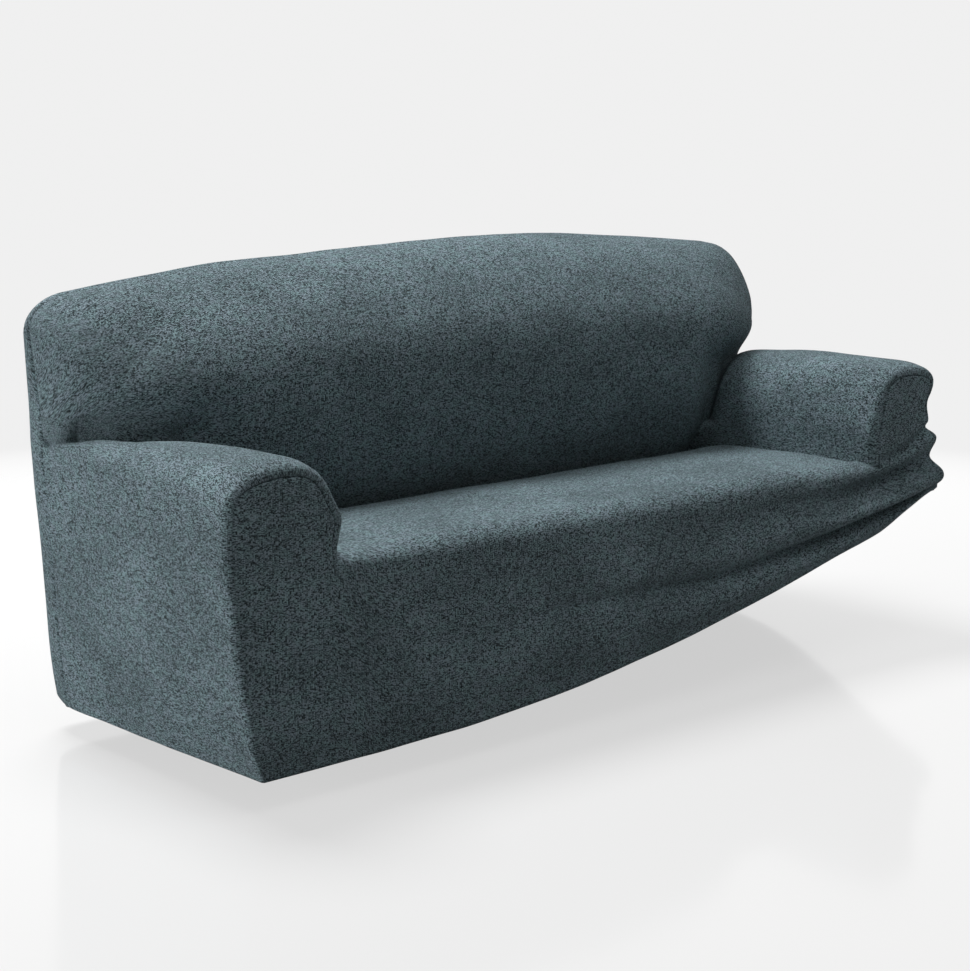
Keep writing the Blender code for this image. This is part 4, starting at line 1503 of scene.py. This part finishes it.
back = Vector(
    (
        math.sin(AZIMUTH) * math.cos(ELEVATION),
        -math.cos(AZIMUTH) * math.cos(ELEVATION),
        math.sin(ELEVATION),
    )
)
level = Vector((math.cos(AZIMUTH), math.sin(AZIMUTH), 0.0))
upward = back.cross(level)
right = level * math.cos(ROLL) + upward * math.sin(ROLL)
upward = upward * math.cos(ROLL) - level * math.sin(ROLL)
lens = bpy.data.cameras.new("camera")
lens.sensor_width = SENSOR_MM
lens.lens = LENS_PX / FRAME_PX * lens.sensor_width
lens.clip_end = FAR_CLIP
camera = bpy.data.objects.new("camera", lens)
camera.matrix_world = Matrix((right, upward, back)).transposed().to_4x4()
camera.matrix_world.translation = Vector(CAMERA_AT) - Vector(HOLD_POINT)
bpy.context.scene.collection.objects.link(camera)
bpy.context.scene.camera = camera
print("lens", round(lens.lens, 2))

# %% [markdown]
# A picture of a thing on white is lit in two ways at once: the thing by its lamps, and the white
# behind it on its own. Two helpers do this. One shows the camera another shader than the one that
# throws back light, and the other lets a value change with the distance from the middle.

# %% Shaders of the stage
WHITE = 0.87  # how bright the far floor, the backdrop and the surround look
NEAR_FLOOR = 1.8  # out to here the floor takes the lamps' light in full
FAR_FLOOR = 3.4  # and from here on it is even white
FLOOR_SHADE = 0.22
FLOOR_GLOW = 0.60
FLOOR_MIRROR = 0.35
FLOOR_ROUGHNESS = 0.12
FLOOR_IOR = 1.25


def camera_switch(tree, for_light, for_camera, output):
    """Joins two shaders: one for the light that bounces, one for what is seen or mirrored."""
    path = tree.nodes.new("ShaderNodeLightPath")
    seen = group_node(tree, "ShaderNodeMath", operation="MAXIMUM")
    switch = tree.nodes.new("ShaderNodeMixShader")
    tree.links.new(path.outputs["Is Camera Ray"], seen.inputs[0])
    tree.links.new(path.outputs["Is Glossy Ray"], seen.inputs[1])
    tree.links.new(seen.outputs["Value"], switch.inputs[0])
    tree.links.new(for_light, switch.inputs[1])
    tree.links.new(for_camera, switch.inputs[2])
    tree.links.new(switch.outputs[0], output)


def by_distance(tree, near, far):
    """A value that goes from near to far with the distance from the middle of the stage."""
    place = tree.nodes.new("ShaderNodeNewGeometry")
    distance = group_node(tree, "ShaderNodeVectorMath", operation="LENGTH")
    tree.links.new(place.outputs["Position"], distance.inputs[0])
    return map_range(tree, distance.outputs["Value"], NEAR_FLOOR, FAR_FLOOR, near, far)


def floor_material():
    """The floor: softly mirroring near the cover, and even white farther out."""
    floor = bpy.data.materials.new("floor")
    floor.use_nodes = True
    tree = floor.node_tree
    shader = tree.nodes["Principled BSDF"]
    shader.inputs["Roughness"].default_value = FLOOR_ROUGHNESS
    shader.inputs["IOR"].default_value = FLOOR_IOR
    shader.inputs["Emission Color"].default_value = (1.0, 1.0, 1.0, 1.0)
    tree.links.new(by_distance(tree, FLOOR_SHADE, 0.0), shader.inputs["Base Color"])
    tree.links.new(by_distance(tree, FLOOR_GLOW, WHITE), shader.inputs["Emission Strength"])
    tree.links.new(by_distance(tree, FLOOR_MIRROR, 0.0), shader.inputs["Specular IOR Level"])
    dull = tree.nodes.new("ShaderNodeBsdfDiffuse")
    dull.inputs["Color"].default_value = (FLOOR_SHADE, FLOOR_SHADE, FLOOR_SHADE, 1.0)
    output = tree.nodes["Material Output"].inputs["Surface"]
    camera_switch(tree, dull.outputs[0], shader.outputs[0], output)
    return floor


print("floor even white from", FAR_FLOOR, "m")

# %% [markdown]
# The floor and the backdrop are one sheet that curves up behind, so no line shows between them.
# The floor looks white to the camera but throws back little light, as a backdrop does that is lit
# on its own and stands well behind, so the shaded front stays dark.

# %% Floor and backdrop
FLOOR_Z = -HOLD_POINT[2]
STAGE_FRONT = -9.0
STAGE_REAR = 3.5  # where the floor starts to curve up
STAGE_CURVE = 2.0
STAGE_TOP = 9.0
STAGE_SIDE = 14.0
STAGE_TURN = math.radians(-40.0)  # so that the backdrop faces the camera


def studio():
    """The sheet of floor and backdrop, as one object."""
    sweep = bmesh.new()
    profile = [(STAGE_FRONT, 0.0), (STAGE_REAR, 0.0)]
    for turn in np.linspace(0.1, 1.57, 12):
        across, up = STAGE_CURVE * math.sin(turn), STAGE_CURVE * math.cos(turn)
        profile.append((STAGE_REAR + across, STAGE_CURVE - up))
    profile.append((STAGE_REAR + STAGE_CURVE, STAGE_TOP))
    sides = (-STAGE_SIDE, STAGE_SIDE)
    ends = [[sweep.verts.new((x, y, FLOOR_Z + z)) for y, z in profile] for x in sides]
    for k in range(len(profile) - 1):
        sweep.faces.new((ends[0][k], ends[1][k], ends[1][k + 1], ends[0][k + 1]))
    mesh = bpy.data.meshes.new("studio")
    sweep.to_mesh(mesh)
    sweep.free()
    mesh.shade_smooth()
    mesh.materials.append(floor_material())
    stage = bpy.data.objects.new("studio", mesh)
    bpy.context.scene.collection.objects.link(stage)
    stage.rotation_euler.z = STAGE_TURN
    return mesh


print("faces of the stage", len(studio().polygons))

# %% [markdown]
# The key light is a large soft disc high above and a little behind, which lights the tops and
# leaves the fronts in shade. A weak one low at the left lifts the left arm, a wide one high in
# front lifts the shaded front, and a weak pale surround fills the rest.

# %% Lights and surround
SURROUND = 0.23
LAMPS = {  # place, aim, size, power
    "key": ((-0.5, 1.9, 4.9), (0.0, 0.0, -0.4), 3.0, 398.0),
    "side fill": ((-3.6, 0.3, -0.60), (-1.0, 0.0, -0.6), 1.6, 71.0),
    "front fill": ((-0.4, -2.2, 5.3), (0.0, 0.0, -0.6), 4.0, 78.0),
}


def soft_light(name, place, aim, size, power):
    """A round lamp at a place, turned to what it lights."""
    lamp = bpy.data.lights.new(name, "AREA")
    lamp.shape = "DISK"
    lamp.size = size
    lamp.energy = power
    light = bpy.data.objects.new(name, lamp)
    light.location = place
    way = Vector(aim) - Vector(place)
    light.rotation_euler = way.to_track_quat("-Z", "Y").to_euler()
    bpy.context.scene.collection.objects.link(light)


def surround():
    """A world that gives weak light and looks white."""
    world = bpy.data.worlds.new("surround")
    world.use_nodes = True
    tree = world.node_tree
    weak = tree.nodes["Background"]
    weak.inputs["Color"].default_value = (1.0, 1.0, 0.98, 1.0)
    weak.inputs["Strength"].default_value = SURROUND
    white = tree.nodes.new("ShaderNodeBackground")
    white.inputs["Color"].default_value = (1.0, 1.0, 1.0, 1.0)
    white.inputs["Strength"].default_value = WHITE
    output = tree.nodes["World Output"].inputs["Surface"]
    camera_switch(tree, weak.outputs[0], white.outputs[0], output)
    bpy.context.scene.world = world


surround()
for lamp_name, settings in LAMPS.items():
    soft_light(lamp_name, *settings)
bpy.context.scene.view_settings.view_transform = "Standard"
print("lamps", list(LAMPS))
